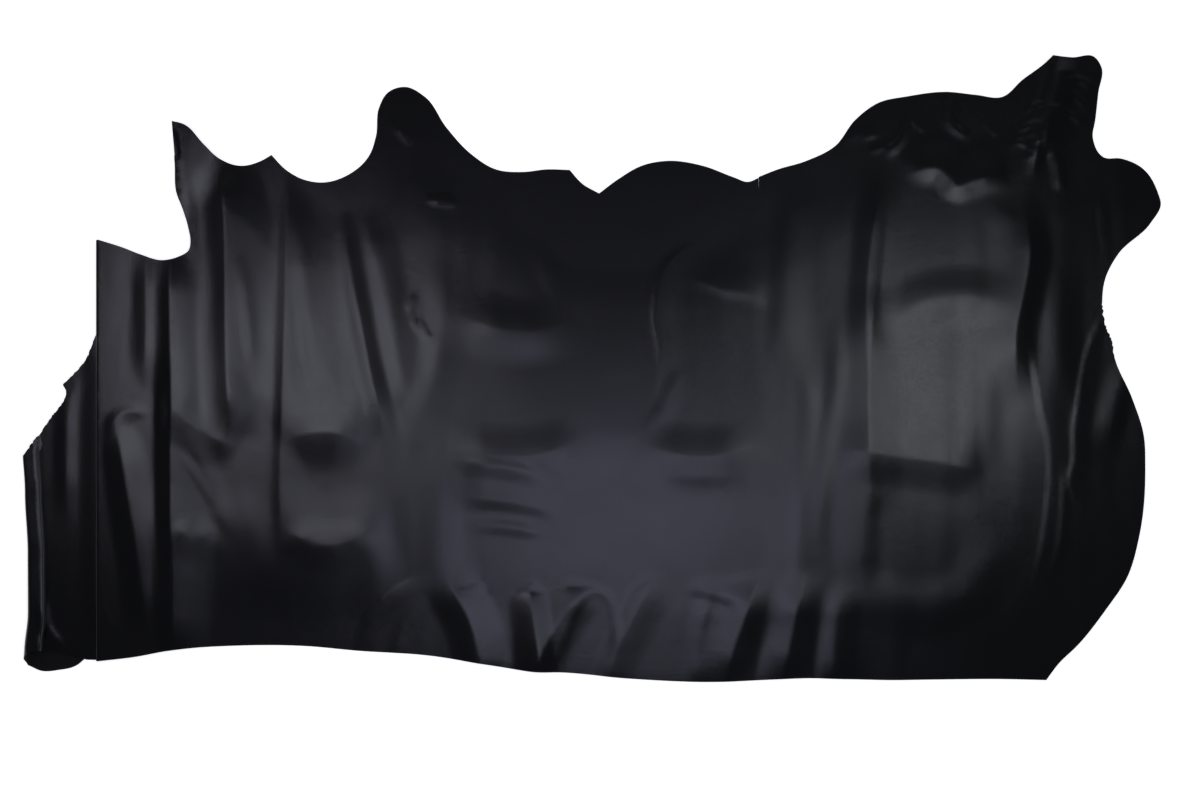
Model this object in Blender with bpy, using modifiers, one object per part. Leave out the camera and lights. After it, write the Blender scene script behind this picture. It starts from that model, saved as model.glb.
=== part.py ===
"""Leather hide: one side of black cow leather, lying grain side up on a flat surface.

The side is a single cut sheet. Its long lower edge is the backbone cut, and the other edges run round the
shanks, the belly and the neck. Near the tail end it is pleated once, so that a narrow strip lies in three
plies, and its last margin is rolled under. Low folds and hollows run over the rest.

Plan sizes are millimetres on the lying side: `along` from the tail end towards the neck, and `up` from the
lowest point of the backbone edge towards the belly. Heights are millimetres above the surface below.

The sheet is meshed in a flat chart, one strip for each ply and bend, and the chart is then laid down ply by
ply. Solidify gives the laid middle surface its thickness.
"""

import math
from typing import NamedTuple

import bpy
import numpy as np
from mathutils import Vector
from mathutils.geometry import delaunay_2d_cdt, interpolate_bezier

MM = 0.001
NODE = "hide"

# Driving dimensions, in millimetres.
THICKNESS = 2.0
PLEAT_LINE = 150.0        # the pleat's front edge, from the tail end
PLEAT_RADIUS = 2.5        # of the middle surface, in the pleat's two bends
PLEAT_SPREAD = 330.0      # the front ply comes down from the pleat to its base lift over this width
BASE_LIFT = 3.0           # how far the open leather stands off the surface between its folds
RIM_FLAT = 12.0           # the rim lies on the surface for this width
RIM_RISE = 170.0          # and the leather rises to its base lift over this one
CONTACT_EASE = 1.2        # how softly the leather meets the surface
STRIP_LEAST = 4.0         # the strip between the pleat's bends is never narrower
CREST_CLEAR = 24.0        # the front ply's folds start over this width beside the pleat
PLEAT_CLEAR = 0.18        # the back ply comes down to the pleat over this share of its width
MARGIN_CLEAR = 0.10       # and its ridges start over this one beside the rolled margin
ROLL_SHOULDER = 19.0      # the back ply leaves the roll's top this far past its centre
ROLL_SLOPE = 15.0         # and comes down over this width

# The mesh, in millimetres and in columns of the pitch across each bend.
PITCH = 40.0
RIM_PITCH = 30.0
RIM_TURN = math.radians(24.0)
BEND_COLUMNS = 7
MIDDLE_COLUMNS = 2
ROLL_COLUMNS = 8
BACK_CHART = 160.0        # the back ply's width in the chart
CROWDING = 0.62           # points of the lattice keep this share of the pitch from other points
FOLD_CROWDING = 0.54      # points of a fold's own lines this one from each other
RIM_CROWDING = 0.34       # and this one from the cut edge
UP_THE_MARGIN = np.arange(60.0, 460.0, 20.0)
TINY = 1e-9
WELD = 1e-6


class Knot(NamedTuple):
    """A point of the cut edge, on one ply of the lying side."""
    ply: str
    along: float
    up: float
    corner: bool = False


class Pleat(NamedTuple):
    """The pleat's section at one height up the side."""
    up: float
    overlap: float        # from the front edge to the inner bend


class Margin(NamedTuple):
    """The rolled margin's section at one height up the side."""
    up: float
    along: float          # the roll's outer edge
    radius: float
    rest: float           # how high the turned-in ply holds the back ply


class Fold(NamedTuple):
    """A long low ridge. left and right are its widths to either side, seen along its path."""
    name: str
    height: float
    left: float
    right: float
    fade: float           # its ends die out over this length
    path: tuple


class Hollow(NamedTuple):
    """A round-cornered patch where the leather sinks towards the surface."""
    name: str
    along: float
    up: float
    half_along: float
    half_up: float
    corner: float
    bank: float
    depth: float


PLEAT = (
    Pleat(up=30, overlap=10),
    Pleat(up=250, overlap=10),
    Pleat(up=390, overlap=16),
    Pleat(up=500, overlap=34),
    Pleat(up=660, overlap=44),
    Pleat(up=900, overlap=44),
)

MARGIN = (
    Margin(up=20, along=1, radius=8.5, rest=2.6),
    Margin(up=60, along=7, radius=8.5, rest=2.6),
    Margin(up=140, along=14, radius=7.5, rest=2.6),
    Margin(up=260, along=13, radius=5.5, rest=2.4),
    Margin(up=380, along=7, radius=4.0, rest=1.2),
    Margin(up=470, along=2, radius=3.2, rest=0.0),
)

# The cut edge, clockwise from the top of the pleat.
OUTLINE = (
    Knot("front", 154, 884, True), Knot("front", 202, 869), Knot("front", 238, 855),
    Knot("front", 284, 843), Knot("front", 314, 850), Knot("front", 335, 864),
    Knot("front", 338, 880), Knot("front", 334, 906), Knot("front", 321, 950),
    Knot("front", 311, 976), Knot("front", 308, 1034), Knot("front", 303, 1120, True),
    Knot("front", 326, 1114), Knot("front", 366, 1074), Knot("front", 396, 1046),
    Knot("front", 438, 1032), Knot("front", 478, 1042), Knot("front", 499, 1054, True),
    Knot("front", 526, 1026), Knot("front", 560, 1006), Knot("front", 604, 999),
    Knot("front", 650, 1013), Knot("front", 694, 1052), Knot("front", 708, 1092),
    Knot("front", 714, 1148), Knot("front", 732, 1179), Knot("front", 765, 1190),
    Knot("front", 806, 1170), Knot("front", 848, 1110), Knot("front", 898, 1056),
    Knot("front", 948, 1025), Knot("front", 1004, 1020), Knot("front", 1048, 1025),
    Knot("front", 1095, 1024, True), Knot("front", 1121, 996), Knot("front", 1154, 977, True),
    Knot("front", 1190, 1004), Knot("front", 1244, 1034), Knot("front", 1290, 1042),
    Knot("front", 1362, 1032), Knot("front", 1424, 1009), Knot("front", 1452, 1000),
    Knot("front", 1472, 1010), Knot("front", 1508, 1024), Knot("front", 1568, 1042),
    Knot("front", 1626, 1072), Knot("front", 1666, 1124), Knot("front", 1712, 1158),
    Knot("front", 1770, 1171), Knot("front", 1846, 1180), Knot("front", 1908, 1174),
    Knot("front", 1960, 1170), Knot("front", 2000, 1204), Knot("front", 2048, 1240),
    Knot("front", 2061, 1253, True), Knot("front", 2100, 1249), Knot("front", 2144, 1250),
    Knot("front", 2158, 1230), Knot("front", 2152, 1178), Knot("front", 2146, 1124),
    Knot("front", 2141, 1088), Knot("front", 2163, 1049), Knot("front", 2196, 1047),
    Knot("front", 2243, 1025), Knot("front", 2272, 976), Knot("front", 2277, 958),
    Knot("front", 2256, 917), Knot("front", 2192, 856), Knot("front", 2165, 803),
    Knot("front", 2160, 762), Knot("front", 2166, 714), Knot("front", 2178, 684),
    Knot("front", 2186, 644), Knot("front", 2220, 566), Knot("front", 2243, 492),
    Knot("front", 2246, 430), Knot("front", 2234, 292), Knot("front", 2210, 210),
    Knot("front", 2168, 146), Knot("front", 2111, 74), Knot("front", 2072, 36),
    Knot("front", 2048, 4, True), Knot("front", 1960, 6), Knot("front", 1820, 5),
    Knot("front", 1736, 4), Knot("front", 1652, 6), Knot("front", 1576, 8),
    Knot("front", 1450, 3), Knot("front", 1400, 1), Knot("front", 1218, 7),
    Knot("front", 1090, 19), Knot("front", 1018, 22), Knot("front", 920, 37),
    Knot("front", 814, 53), Knot("front", 668, 63), Knot("front", 568, 72),
    Knot("front", 432, 73), Knot("front", 298, 64), Knot("front", 226, 51),
    Knot("front", 156, 43, True), Knot("back", 132, 45, True), Knot("back", 108, 50),
    Knot("back", 74, 60), Knot("back", 40, 64), Knot("roll", 0.0, 62, True),
    Knot("roll", 0.5, 48), Knot("roll", 1.0, 34), Knot("under", 42, 22),
    Knot("under", 72, 24), Knot("under", 110, 33), Knot("under", 126, 47, True),
    Knot("under", 104, 130), Knot("under", 62, 260), Knot("under", 24, 400),
    Knot("roll", 1.0, 444, True), Knot("roll", 0.0, 456, True), Knot("back", 14, 467),
    Knot("back", 46, 511), Knot("back", 65, 538), Knot("back", 80, 556),
    Knot("back", 89, 580), Knot("back", 82, 595, True), Knot("back", 101, 614),
    Knot("back", 132, 652), Knot("back", 142, 680), Knot("back", 192, 772, True),
    Knot("middle", 1.0, 782, True), Knot("middle", 0.0, 878, True),
)

# Ridges of the front ply. Their paths run upwards, or from the tail end towards the neck.
FOLDS = (
    Fold("first corrugation", 4.8, 44, 20, 120,
         ((240, 564), (248, 614), (252, 704), (252, 804), (250, 904))),
    Fold("lower corrugation", 7.4, 56, 56, 130,
         ((248, 64), (242, 184), (230, 284), (216, 374), (202, 460), (188, 516), (178, 554))),
    Fold("second corrugation", 9.6, 38, 88, 130,
         ((302, 4), (302, 244), (300, 464), (300, 664), (298, 904))),
    Fold("rump stripe", 9.0, 58, 64, 150,
         ((406, 524), (418, 604), (416, 704), (416, 804), (414, 904), (408, 984), (396, 1064))),
    Fold("rump swoosh", 5.6, 150, 56, 60, ((274, 536), (306, 520), (346, 496), (382, 472), (422, 440))),
    Fold("rump dimple ridge", 4.6, 44, 60, 70,
         ((410, 244), (398, 324), (378, 404), (350, 484), (334, 524))),
    Fold("rump line", 3.2, 26, 70, 170,
         ((518, 224), (518, 404), (524, 604), (530, 804), (532, 964), (528, 1064))),
    Fold("flank fold", 3.8, 28, 34, 130,
         ((758, 424), (734, 524), (712, 624), (696, 714), (684, 794), (670, 884), (654, 994))),
    Fold("flank hollow", 3.6, 38, 44, 120,
         ((794, 564), (776, 664), (764, 724), (750, 804), (736, 904), (726, 1014))),
    Fold("shank fold", 2.6, 46, 60, 120, ((782, 444), (810, 564), (834, 664), (846, 754), (826, 854))),
    Fold("thigh oval", 6.4, 200, 90, 80, ((514, 472), (554, 492), (606, 500), (650, 492), (698, 460))),
    Fold("rump shelf", 5.0, 140, 190, 70,
         ((214, 312), (278, 300), (334, 290), (394, 286), (450, 296), (490, 308),
          (530, 296), (578, 276), (630, 274), (678, 288), (754, 304))),
    Fold("thigh crescent", 2.6, 60, 60, 50, ((526, 312), (566, 284), (614, 272), (658, 282), (702, 312))),
    Fold("rump crescent", 2.4, 50, 60, 40, ((302, 324), (334, 296), (366, 292), (398, 312))),
    Fold("backbone arc", 2.4, 20, 60, 90, ((654, 20), (676, 84), (710, 144), (754, 184), (826, 220))),
    Fold("spike lift", 12.0, 40, 230, 60, ((254, 1120), (310, 1140), (378, 1108), (446, 1064))),
    Fold("belly ridge", 6.0, 70, 60, 120, ((846, 768), (906, 738), (966, 722), (1034, 720), (1118, 744))),
    Fold("belly arc", 2.2, 20, 66, 130,
         ((1262, 548), (1272, 604), (1276, 664), (1266, 724),
          (1270, 784), (1290, 836), (1338, 876), (1398, 892))),
    Fold("belly streak", 3.4, 74, 24, 80,
         ((1306, 816), (1366, 802), (1406, 788), (1450, 784), (1510, 752))),
    Fold("loin bank left", 5.4, 66, 130, 100,
         ((790, 484), (858, 470), (926, 458), (994, 454), (1054, 460), (1130, 488))),
    Fold("loin bank right", 5.0, 64, 130, 110,
         ((1230, 480), (1294, 460), (1354, 456), (1424, 460), (1490, 484))),
    Fold("first ripple", 1.7, 20, 32, 80, ((858, 444), (934, 434), (978, 428), (1014, 418), (1066, 392))),
    Fold("second ripple", 3.2, 70, 40, 100, ((846, 370), (914, 366), (974, 360), (1034, 348), (1114, 324))),
    Fold("third ripple", 2.6, 26, 34, 80, ((874, 316), (964, 312), (1014, 304), (1078, 290))),
    Fold("shoulder crease", 4.4, 44, 50, 140,
         ((1686, 624), (1688, 744), (1694, 844), (1712, 964), (1730, 1034))),
    Fold("panel edge", 4.4, 140, 90, 120,
         ((1698, 324), (1694, 484), (1692, 604), (1698, 724), (1710, 804))),
    Fold("panel sill", 6.4, 120, 80, 80,
         ((1626, 476), (1706, 462), (1774, 452), (1844, 442), (1918, 428), (2006, 408))),
    Fold("panel head", 4.4, 66, 70, 110,
         ((1722, 684), (1764, 736), (1814, 764), (1874, 770), (1934, 764), (1982, 724), (2014, 664))),
    Fold("panel right edge", 6.0, 90, 50, 150,
         ((1998, 464), (1986, 584), (1986, 704), (2002, 784), (2014, 864), (1998, 984))),
    Fold("shoulder pocket", 6.6, 78, 40, 44,
         ((1764, 1006), (1794, 1024), (1828, 1028), (1852, 1010),
          (1870, 992), (1900, 1002), (1946, 1014), (2002, 1024))),
    Fold("dish wall", 2.4, 70, 40, 100, ((1690, 164), (1682, 244), (1686, 344), (1710, 424))),
    Fold("dish rim", 1.9, 70, 70, 110,
         ((1606, 172), (1654, 170), (1714, 164), (1774, 148),
          (1834, 152), (1890, 180), (1930, 240), (1946, 324))),
    Fold("neck fold", 2.4, 20, 50, 120,
         ((2014, 164), (2034, 244), (2052, 364), (2054, 464), (2040, 534), (2024, 624), (2006, 724))),
    Fold("neck crease", 2.4, 20, 40, 80,
         ((2126, 334), (2108, 364), (2096, 404), (2104, 450), (2104, 504),
          (2114, 574), (2128, 654), (2152, 714), (2178, 764))),
    Fold("neck rim fold", 3.0, 46, 34, 90, ((2162, 404), (2178, 504), (2196, 588), (2210, 674))),
    Fold("neck slope", 4.0, 70, 220, 160,
         ((2026, 84), (2038, 324), (2038, 564), (2030, 764), (2046, 1004))),
    Fold("throat fold left", 6.0, 30, 22, 50, ((2018, 1014), (2036, 1104), (2046, 1174), (2062, 1264))),
    Fold("throat fold right", 6.0, 20, 44, 50, ((2046, 1044), (2054, 1114), (2066, 1174), (2088, 1264))),
    Fold("backbone hem", 3.0, 120, 60, 90,
         ((814, 54), (954, 40), (1074, 20), (1234, 8), (1434, 4), (1614, 12), (1714, 16))),
    Fold("first scallop", 7.0, 56, 60, 80, ((930, -36), (914, 54), (896, 120), (870, 172), (842, 224))),
    Fold("second scallop", 6.5, 54, 34, 90,
         ((1050, -36), (1038, 44), (1028, 108), (1022, 164), (1018, 232))),
    Fold("second scallop flare", 6.0, 66, 60, 80, ((986, -48), (1036, 54), (1078, 128), (1138, 216))),
    Fold("third scallop", 3.4, 40, 60, 90,
         ((1154, -48), (1182, 44), (1214, 114), (1246, 180), (1282, 244))),
    Fold("fourth scallop", 2.8, 30, 50, 70, ((1342, -36), (1354, 84), (1366, 144), (1386, 194))),
    Fold("notch bank", 3.0, 60, 26, 60, ((1306, 196), (1362, 180), (1414, 164), (1466, 152))),
    Fold("fifth scallop", 7.0, 64, 58, 100,
         ((1398, -36), (1420, 60), (1438, 112), (1456, 164), (1482, 228))),
    Fold("sixth scallop", 7.0, 56, 60, 100,
         ((1514, -36), (1530, 54), (1540, 104), (1552, 164), (1574, 228))),
    Fold("seventh scallop", 4.0, 40, 56, 80,
         ((1618, -36), (1622, 54), (1626, 104), (1634, 156), (1658, 204))),
)

# Ridges of the back ply, between the rolled margin and the pleat.
BACK_FOLDS = (
    Fold("back ridge", 3.2, 32, 26, 70,
         ((90, 84), (88, 244), (90, 364), (90, 484), (94, 554), (108, 594), (122, 648))),
    Fold("pleat rest", 3.0, 44, 40, 70, ((152, 84), (152, 244), (152, 404), (152, 564), (152, 704))),
)

HOLLOWS = (
    Hollow("loin panel", 1184, 290, 250, 60, 60, 150, 3.4),
    Hollow("belly flat", 1200, 900, 130, 20, 20, 140, 3.4),
)


def smoothstep(share):
    """Rises from 0 to 1, level at both ends."""
    share = np.clip(share, 0.0, 1.0)
    return share * share * (3.0 - 2.0 * share)


def eased(up, stations, values):
    """Reads a value between its stations up the side, level at each station."""
    stations = np.asarray(stations, float)
    values = np.asarray(values, float)
    index = np.clip(np.searchsorted(stations, up) - 1, 0, len(stations) - 2)
    low, high = stations[index], stations[index + 1]
    share = smoothstep((up - low) / (high - low))
    return values[index] + (values[index + 1] - values[index]) * share


class PleatSection:
    """The pleat's section at each height: two half turns with a flat strip between them."""

    def __init__(self, up):
        self.start = PLEAT_LINE + PLEAT_RADIUS + THICKNESS / 2
        overlap = eased(up, [row.up for row in PLEAT], [row.overlap for row in PLEAT])
        self.strip = np.maximum(overlap - 2 * PLEAT_RADIUS, STRIP_LEAST)
        self.drop = 4 * PLEAT_RADIUS
        self.back_end = self.start + self.strip

    def upper_bend(self, share):
        """Run and drop from the front ply's end, over a share of the first bend."""
        return -PLEAT_RADIUS * np.sin(math.pi * share), PLEAT_RADIUS * (1 - np.cos(math.pi * share))

    def flat_strip(self, share):
        """Run and drop from the front ply's end, over a share of the strip between the bends."""
        return self.strip * share, np.full(len(share), self.drop / 2)

    def lower_bend(self, share):
        """Run and drop from the front ply's end, over a share of the second bend."""
        run, drop = self.upper_bend(1 - share)
        return self.strip - run, self.drop - drop


class MarginSection:
    """The rolled margin's section at each height: a half turn under the back ply."""

    def __init__(self, up):
        stations = [row.up for row in MARGIN]
        self.radius = eased(up, stations, [row.radius for row in MARGIN])
        outer = eased(up, stations, [row.along for row in MARGIN])
        self.centre = outer + self.radius + THICKNESS / 2
        self.rest = eased(up, stations, [row.rest for row in MARGIN])

    def lift(self, along):
        """How far the roll and the turned-in ply hold the back ply up."""
        beyond = np.clip((along - self.centre - ROLL_SHOULDER) / ROLL_SLOPE, 0.0, 1.0)
        return self.rest + (2 * self.radius - self.rest) * (1 - beyond**2)


class Chart:
    """The flat chart: a strip for each ply and bend, side by side, read by a distance across and one up."""

    def __init__(self, pitch):
        self.bend = BEND_COLUMNS * pitch
        self.middle = -self.bend
        self.lower = self.middle - MIDDLE_COLUMNS * pitch
        self.back = self.lower - self.bend
        self.roll = self.back - BACK_CHART
        self.under = self.roll - ROLL_COLUMNS * pitch

    def across(self, knot):
        """The chart's distance across for a knot of the cut edge."""
        pleat, margin = PleatSection(knot.up), MarginSection(knot.up)
        if knot.ply == "front":
            return knot.along - float(pleat.start)
        if knot.ply == "middle":
            return self.middle + (self.lower - self.middle) * knot.along
        if knot.ply == "back":
            width = float(pleat.back_end - margin.centre)
            return self.back - BACK_CHART * (float(pleat.back_end) - knot.along) / width
        if knot.ply == "roll":
            return self.roll + (self.under - self.roll) * knot.along
        return self.under - (knot.along - float(margin.centre))

    def lay_down(self, across, up, rim):
        """Places points of the chart on the lying side, in millimetres, as columns along, up and height."""
        pleat, margin = PleatSection(up), MarginSection(up)
        ground = THICKNESS / 2
        along = pleat.start + across
        height = ground + pleat.drop * (1 - smoothstep(across / PLEAT_SPREAD))
        front = across >= 0
        near_pleat = smoothstep(across / CREST_CLEAR)
        height = height + np.where(front, near_pleat * front_relief(along, up, rim, across), 0.0)

        def put(mask, run, level):
            along[mask] = run[mask]
            height[mask] = level[mask]

        run, drop = pleat.upper_bend(np.clip(-across / self.bend, 0, 1))
        put(across < 0, pleat.start + run, ground + pleat.drop - drop)
        run, drop = pleat.flat_strip(np.clip((self.middle - across) / (self.middle - self.lower), 0, 1))
        put(across < self.middle, pleat.start + run, ground + pleat.drop - drop)
        run, drop = pleat.lower_bend(np.clip((self.lower - across) / self.bend, 0, 1))
        put(across < self.lower, pleat.start + run, ground + pleat.drop - drop)
        share = np.clip((self.back - across) / BACK_CHART, 0, 1)
        run = pleat.back_end - (pleat.back_end - margin.centre) * share
        put(across < self.back, run, ground + back_relief(margin, run, up, share))
        angle = math.pi * np.clip((self.roll - across) / (self.roll - self.under), 0, 1)
        run = margin.centre - margin.radius * np.sin(angle)
        put(across < self.roll, run, ground + margin.radius * (1 + np.cos(angle)))
        put(across < self.under, margin.centre + self.under - across, np.full(len(up), ground))
        return np.column_stack((along, up, height))


def smooth_path(points, steps=8):
    """A smooth line through a fold's points, as a Catmull-Rom curve."""
    points = np.asarray(points, float)
    ends = np.vstack((2 * points[0] - points[1], points, 2 * points[-1] - points[-2]))
    share = np.linspace(0, 1, steps, endpoint=False)[:, None]
    line = []
    for before, start, end, after in zip(ends, ends[1:], ends[2:], ends[3:]):
        line.append(start + 0.5 * share * (end - before
                    + share * (2 * before - 5 * start + 4 * end - after
                               + share * (3 * (start - end) + after - before))))
    return np.vstack(line + [points[-1:]])


def ridge(fold, along, up):
    """The height of one fold at each point: a bell across its path, dying out at both ends."""
    line = smooth_path(fold.path)
    steps = np.diff(line, axis=0)
    lengths = np.hypot(*steps.T)
    travelled = np.concatenate(([0.0], np.cumsum(lengths)))
    nearest = np.full(len(along), np.inf)
    side = np.zeros(len(along))
    place = np.zeros(len(along))
    for (east, north), (run, rise), length, start in zip(line, steps, lengths, travelled):
        share = np.clip(((along - east) * run + (up - north) * rise) / length**2, 0, 1)
        off_along, off_up = along - east - share * run, up - north - share * rise
        distance = np.hypot(off_along, off_up)
        closer = distance < nearest
        nearest[closer] = distance[closer]
        side[closer] = (off_along * rise - off_up * run)[closer]
        place[closer] = (start + share * length)[closer]
    width = np.where(side > 0, fold.right, fold.left)
    bell = 1 - smoothstep(nearest / width)
    ends = np.minimum(place, travelled[-1] - place)
    return fold.height * bell * smoothstep(ends / fold.fade)


def sink(hollow, along, up):
    """How far a hollow takes the leather down at each point."""
    beside = np.abs(along - hollow.along) - hollow.half_along + hollow.corner
    above = np.abs(up - hollow.up) - hollow.half_up + hollow.corner
    outside = np.hypot(np.maximum(beside, 0), np.maximum(above, 0)) - hollow.corner
    outside += np.minimum(np.maximum(beside, above), 0)
    return hollow.depth * (1 - smoothstep(outside / hollow.bank))


def rim_distance(across, up, rim):
    """The chart's distance from each point to the cut edge."""
    nearest = np.full(len(across), np.inf)
    for start, end in zip(rim, np.roll(rim, -1, axis=0)):
        step = end - start
        share = ((across - start[0]) * step[0] + (up - start[1]) * step[1]) / max(step @ step, TINY)
        share = np.clip(share, 0, 1)
        distance = np.hypot(across - start[0] - share * step[0], up - start[1] - share * step[1])
        nearest = np.minimum(nearest, distance)
    return nearest


def front_relief(along, up, rim, across):
    """How far the front ply stands off the surface: its base lift, folds and hollows, eased onto it."""
    lift = BASE_LIFT * smoothstep((rim_distance(across, up, rim) - RIM_FLAT) / RIM_RISE)
    lift = lift * smoothstep(across / PLEAT_SPREAD)
    lift = lift + sum(ridge(fold, along, up) for fold in FOLDS)
    lift = lift - sum(sink(hollow, along, up) for hollow in HOLLOWS)
    lift = np.maximum(lift, 0.0)
    return lift * lift / (lift + CONTACT_EASE)


def back_relief(margin, along, up, share):
    """How far the back ply stands off the surface, over a share of its width from the pleat to the roll."""
    ridges = sum(ridge(fold, along, up) for fold in BACK_FOLDS) * smoothstep((1 - share) / MARGIN_CLEAR)
    return (margin.lift(along) + ridges) * smoothstep(share / PLEAT_CLEAR)


def cut_edge(chart):
    """The cut edge as a closed line in the chart: a smooth curve through the knots, broken at the corners."""
    knots = [Vector((chart.across(knot), knot.up)) for knot in OUTLINE]
    tangents = []
    for index, knot in enumerate(OUTLINE):
        before = knots[index] - knots[index - 1]
        after = knots[(index + 1) % len(knots)] - knots[index]
        blend = before.normalized() * after.length + after.normalized() * before.length
        tangents.append(None if knot.corner else blend.normalized())
    edge = []
    for index, start in enumerate(knots):
        following = (index + 1) % len(knots)
        end = knots[following]
        chord = end - start
        leave = tangents[index] or chord.normalized()
        arrive = tangents[following] or chord.normalized()
        reach = chord.length / 3
        turning = leave.angle(chord) + arrive.angle(chord)
        pieces = max(math.ceil(chord.length / RIM_PITCH), math.ceil(turning / RIM_TURN), 1)
        curve = interpolate_bezier(start, start + leave * reach, end - arrive * reach, end, pieces + 1)
        edge.extend((point.x, point.y) for point in curve[:-1])
    return np.array(edge)


def inside(points, rim):
    """Which points lie inside the closed line."""
    hits = np.zeros(len(points), bool)
    for (x0, y0), (x1, y1) in zip(rim, np.roll(rim, -1, axis=0)):
        if y0 == y1:
            continue
        spans = (y0 > points[:, 1]) != (y1 > points[:, 1])
        crossing = x0 + (points[:, 1] - y0) * (x1 - x0) / (y1 - y0)
        hits ^= spans & (points[:, 0] < crossing)
    return hits


class PointBed:
    """Points of the chart, kept apart from each other by a grid of cells."""

    def __init__(self, cell):
        self.cell = cell
        self.points = []
        self.cells = {}

    def add(self, point, clearance):
        """Adds a point unless another lies within the clearance."""
        column, row = math.floor(point[0] / self.cell), math.floor(point[1] / self.cell)
        for near_column in (column - 1, column, column + 1):
            for near_row in (row - 1, row, row + 1):
                for other in self.cells.get((near_column, near_row), ()):
                    if math.dist(point, other) < clearance:
                        return
        self.cells.setdefault((column, row), []).append(point)
        self.points.append(point)


def crest_and_feet(fold):
    """Points along a fold's crest and along both of its feet."""
    crest = smooth_path(fold.path)
    heading = np.gradient(crest, axis=0)
    normal = np.column_stack((heading[:, 1], -heading[:, 0]))
    normal /= np.linalg.norm(normal, axis=1)[:, None]
    return [crest + normal * offset for offset in (0.0, fold.right, -fold.left)]


def fold_lines(chart):
    """Points of the chart along each fold and along the roll's shoulder, so that the mesh follows them."""
    lines = []
    for fold in FOLDS:
        for line in crest_and_feet(fold):
            line[:, 0] -= PleatSection(line[:, 1]).start
            lines.append(line[line[:, 0] > PITCH / 2])
    back = [line for fold in BACK_FOLDS for line in crest_and_feet(fold)]
    margin = MarginSection(UP_THE_MARGIN)
    for beyond in (ROLL_SHOULDER, ROLL_SHOULDER + ROLL_SLOPE):
        back.append(np.column_stack((margin.centre + beyond, UP_THE_MARGIN)))
    back = np.vstack(back)
    back = back[back[:, 0] < PLEAT_LINE]
    lines.append([(chart.across(Knot("back", along, up)), up) for along, up in back])
    return np.vstack(lines)


def chart_points(chart, rim):
    """The cut edge's points, then those on the folds, then a lattice over the rest."""
    bed = PointBed(PITCH)
    for point in rim:
        bed.add(tuple(point), 0.0)
    guides = fold_lines(chart)
    guides = guides[inside(guides, rim)]
    guides = guides[rim_distance(guides[:, 0], guides[:, 1], rim) > PITCH * RIM_CROWDING]
    for point in guides:
        bed.add(tuple(point), PITCH * FOLD_CROWDING)
    low, high = rim.min(axis=0), rim.max(axis=0)
    row_height = PITCH * math.sqrt(3) / 2
    columns = np.arange(math.floor(low[0] / PITCH), math.ceil(high[0] / PITCH) + 1)
    rows = np.arange(math.ceil(high[1] / row_height) + 1)
    lattice = [((column + (row % 2) / 2) * PITCH, row * row_height) for row in rows for column in columns]
    lattice = np.array(lattice)
    lattice = lattice[inside(lattice, rim)]
    lattice = lattice[rim_distance(lattice[:, 0], lattice[:, 1], rim) > PITCH * CROWDING]
    for point in lattice:
        bed.add(tuple(point), PITCH * CROWDING)
    return np.array(bed.points)


def sheet_mesh():
    """The side's middle surface, meshed in the chart and laid down ply by ply."""
    chart = Chart(PITCH)
    rim = cut_edge(chart)
    points = chart_points(chart, rim)
    border = [list(range(len(rim)))]
    laid_out = delaunay_2d_cdt([Vector(point) for point in points], [], border, 1, WELD)
    corners, _, faces, sources = laid_out[:4]
    flat = np.array([points[source[0]] for source in sources])
    laid = chart.lay_down(flat[:, 0].copy(), flat[:, 1].copy(), rim) * MM
    low, high = laid.min(axis=0), laid.max(axis=0)
    low[0] -= THICKNESS / 2 * MM      # the rolled margin's outer face
    laid[:, :2] -= (low[:2] + high[:2]) / 2
    mesh = bpy.data.meshes.new(NODE)
    mesh.from_pydata([Vector(place) for place in laid], [], faces)
    mesh.validate()
    return mesh


def black_leather():
    """Dyed and finished grain leather: near black, with a soft gloss."""
    leather = bpy.data.materials.new("black leather")
    leather.use_nodes = True
    shader = leather.node_tree.nodes["Principled BSDF"]
    shader.inputs["Base Color"].default_value = (0.010, 0.011, 0.014, 1.0)
    shader.inputs["Roughness"].default_value = 0.36
    shader.inputs["Metallic"].default_value = 0.0
    return leather


def build_hide(collection):
    """The hide: its middle surface, thickened to either side."""
    hide = bpy.data.objects.new(NODE, sheet_mesh())
    hide.data.materials.append(black_leather())
    hide.data.shade_smooth()
    collection.objects.link(hide)
    skin = hide.modifiers.new("thickness", "SOLIDIFY")
    skin.thickness = THICKNESS * MM
    skin.offset = 0.0
    hide.modifiers.new("face weighted shading", "WEIGHTED_NORMAL")
    return hide


def main():
    for obj in list(bpy.data.objects):
        bpy.data.objects.remove(obj)
    collection = bpy.data.collections.new("leather hide")
    bpy.context.scene.collection.children.link(collection)
    build_hide(collection)


main()
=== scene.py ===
"""Leather hide: the visible side of black leather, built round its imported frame.

One side of a cow hide lies grain side up on a pale floor. Its long lower edge is the backbone cut, and the
other edges run round the shanks, the belly and the neck. Near the tail end it is pleated once, so that a
narrow strip lies in three plies, and its last margin is rolled under. Low folds and hollows run over it.

Plan sizes are millimetres on the lying side: `along` from the tail end towards the neck, and `up` from the
lowest point of the backbone edge towards the belly. Heights are millimetres above the floor.

The sheet is meshed in a flat chart, one strip for each ply and bend. The chart is then laid down ply by
ply, and thickened into a grain face, a flesh face and a cut edge.
"""

from __future__ import annotations

import logging
import math
import random
from dataclasses import dataclass, field
from enum import Enum

import bpy
import numpy as np
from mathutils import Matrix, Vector, noise
from mathutils.geometry import delaunay_2d_cdt, interpolate_bezier
from mathutils.kdtree import KDTree


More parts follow.
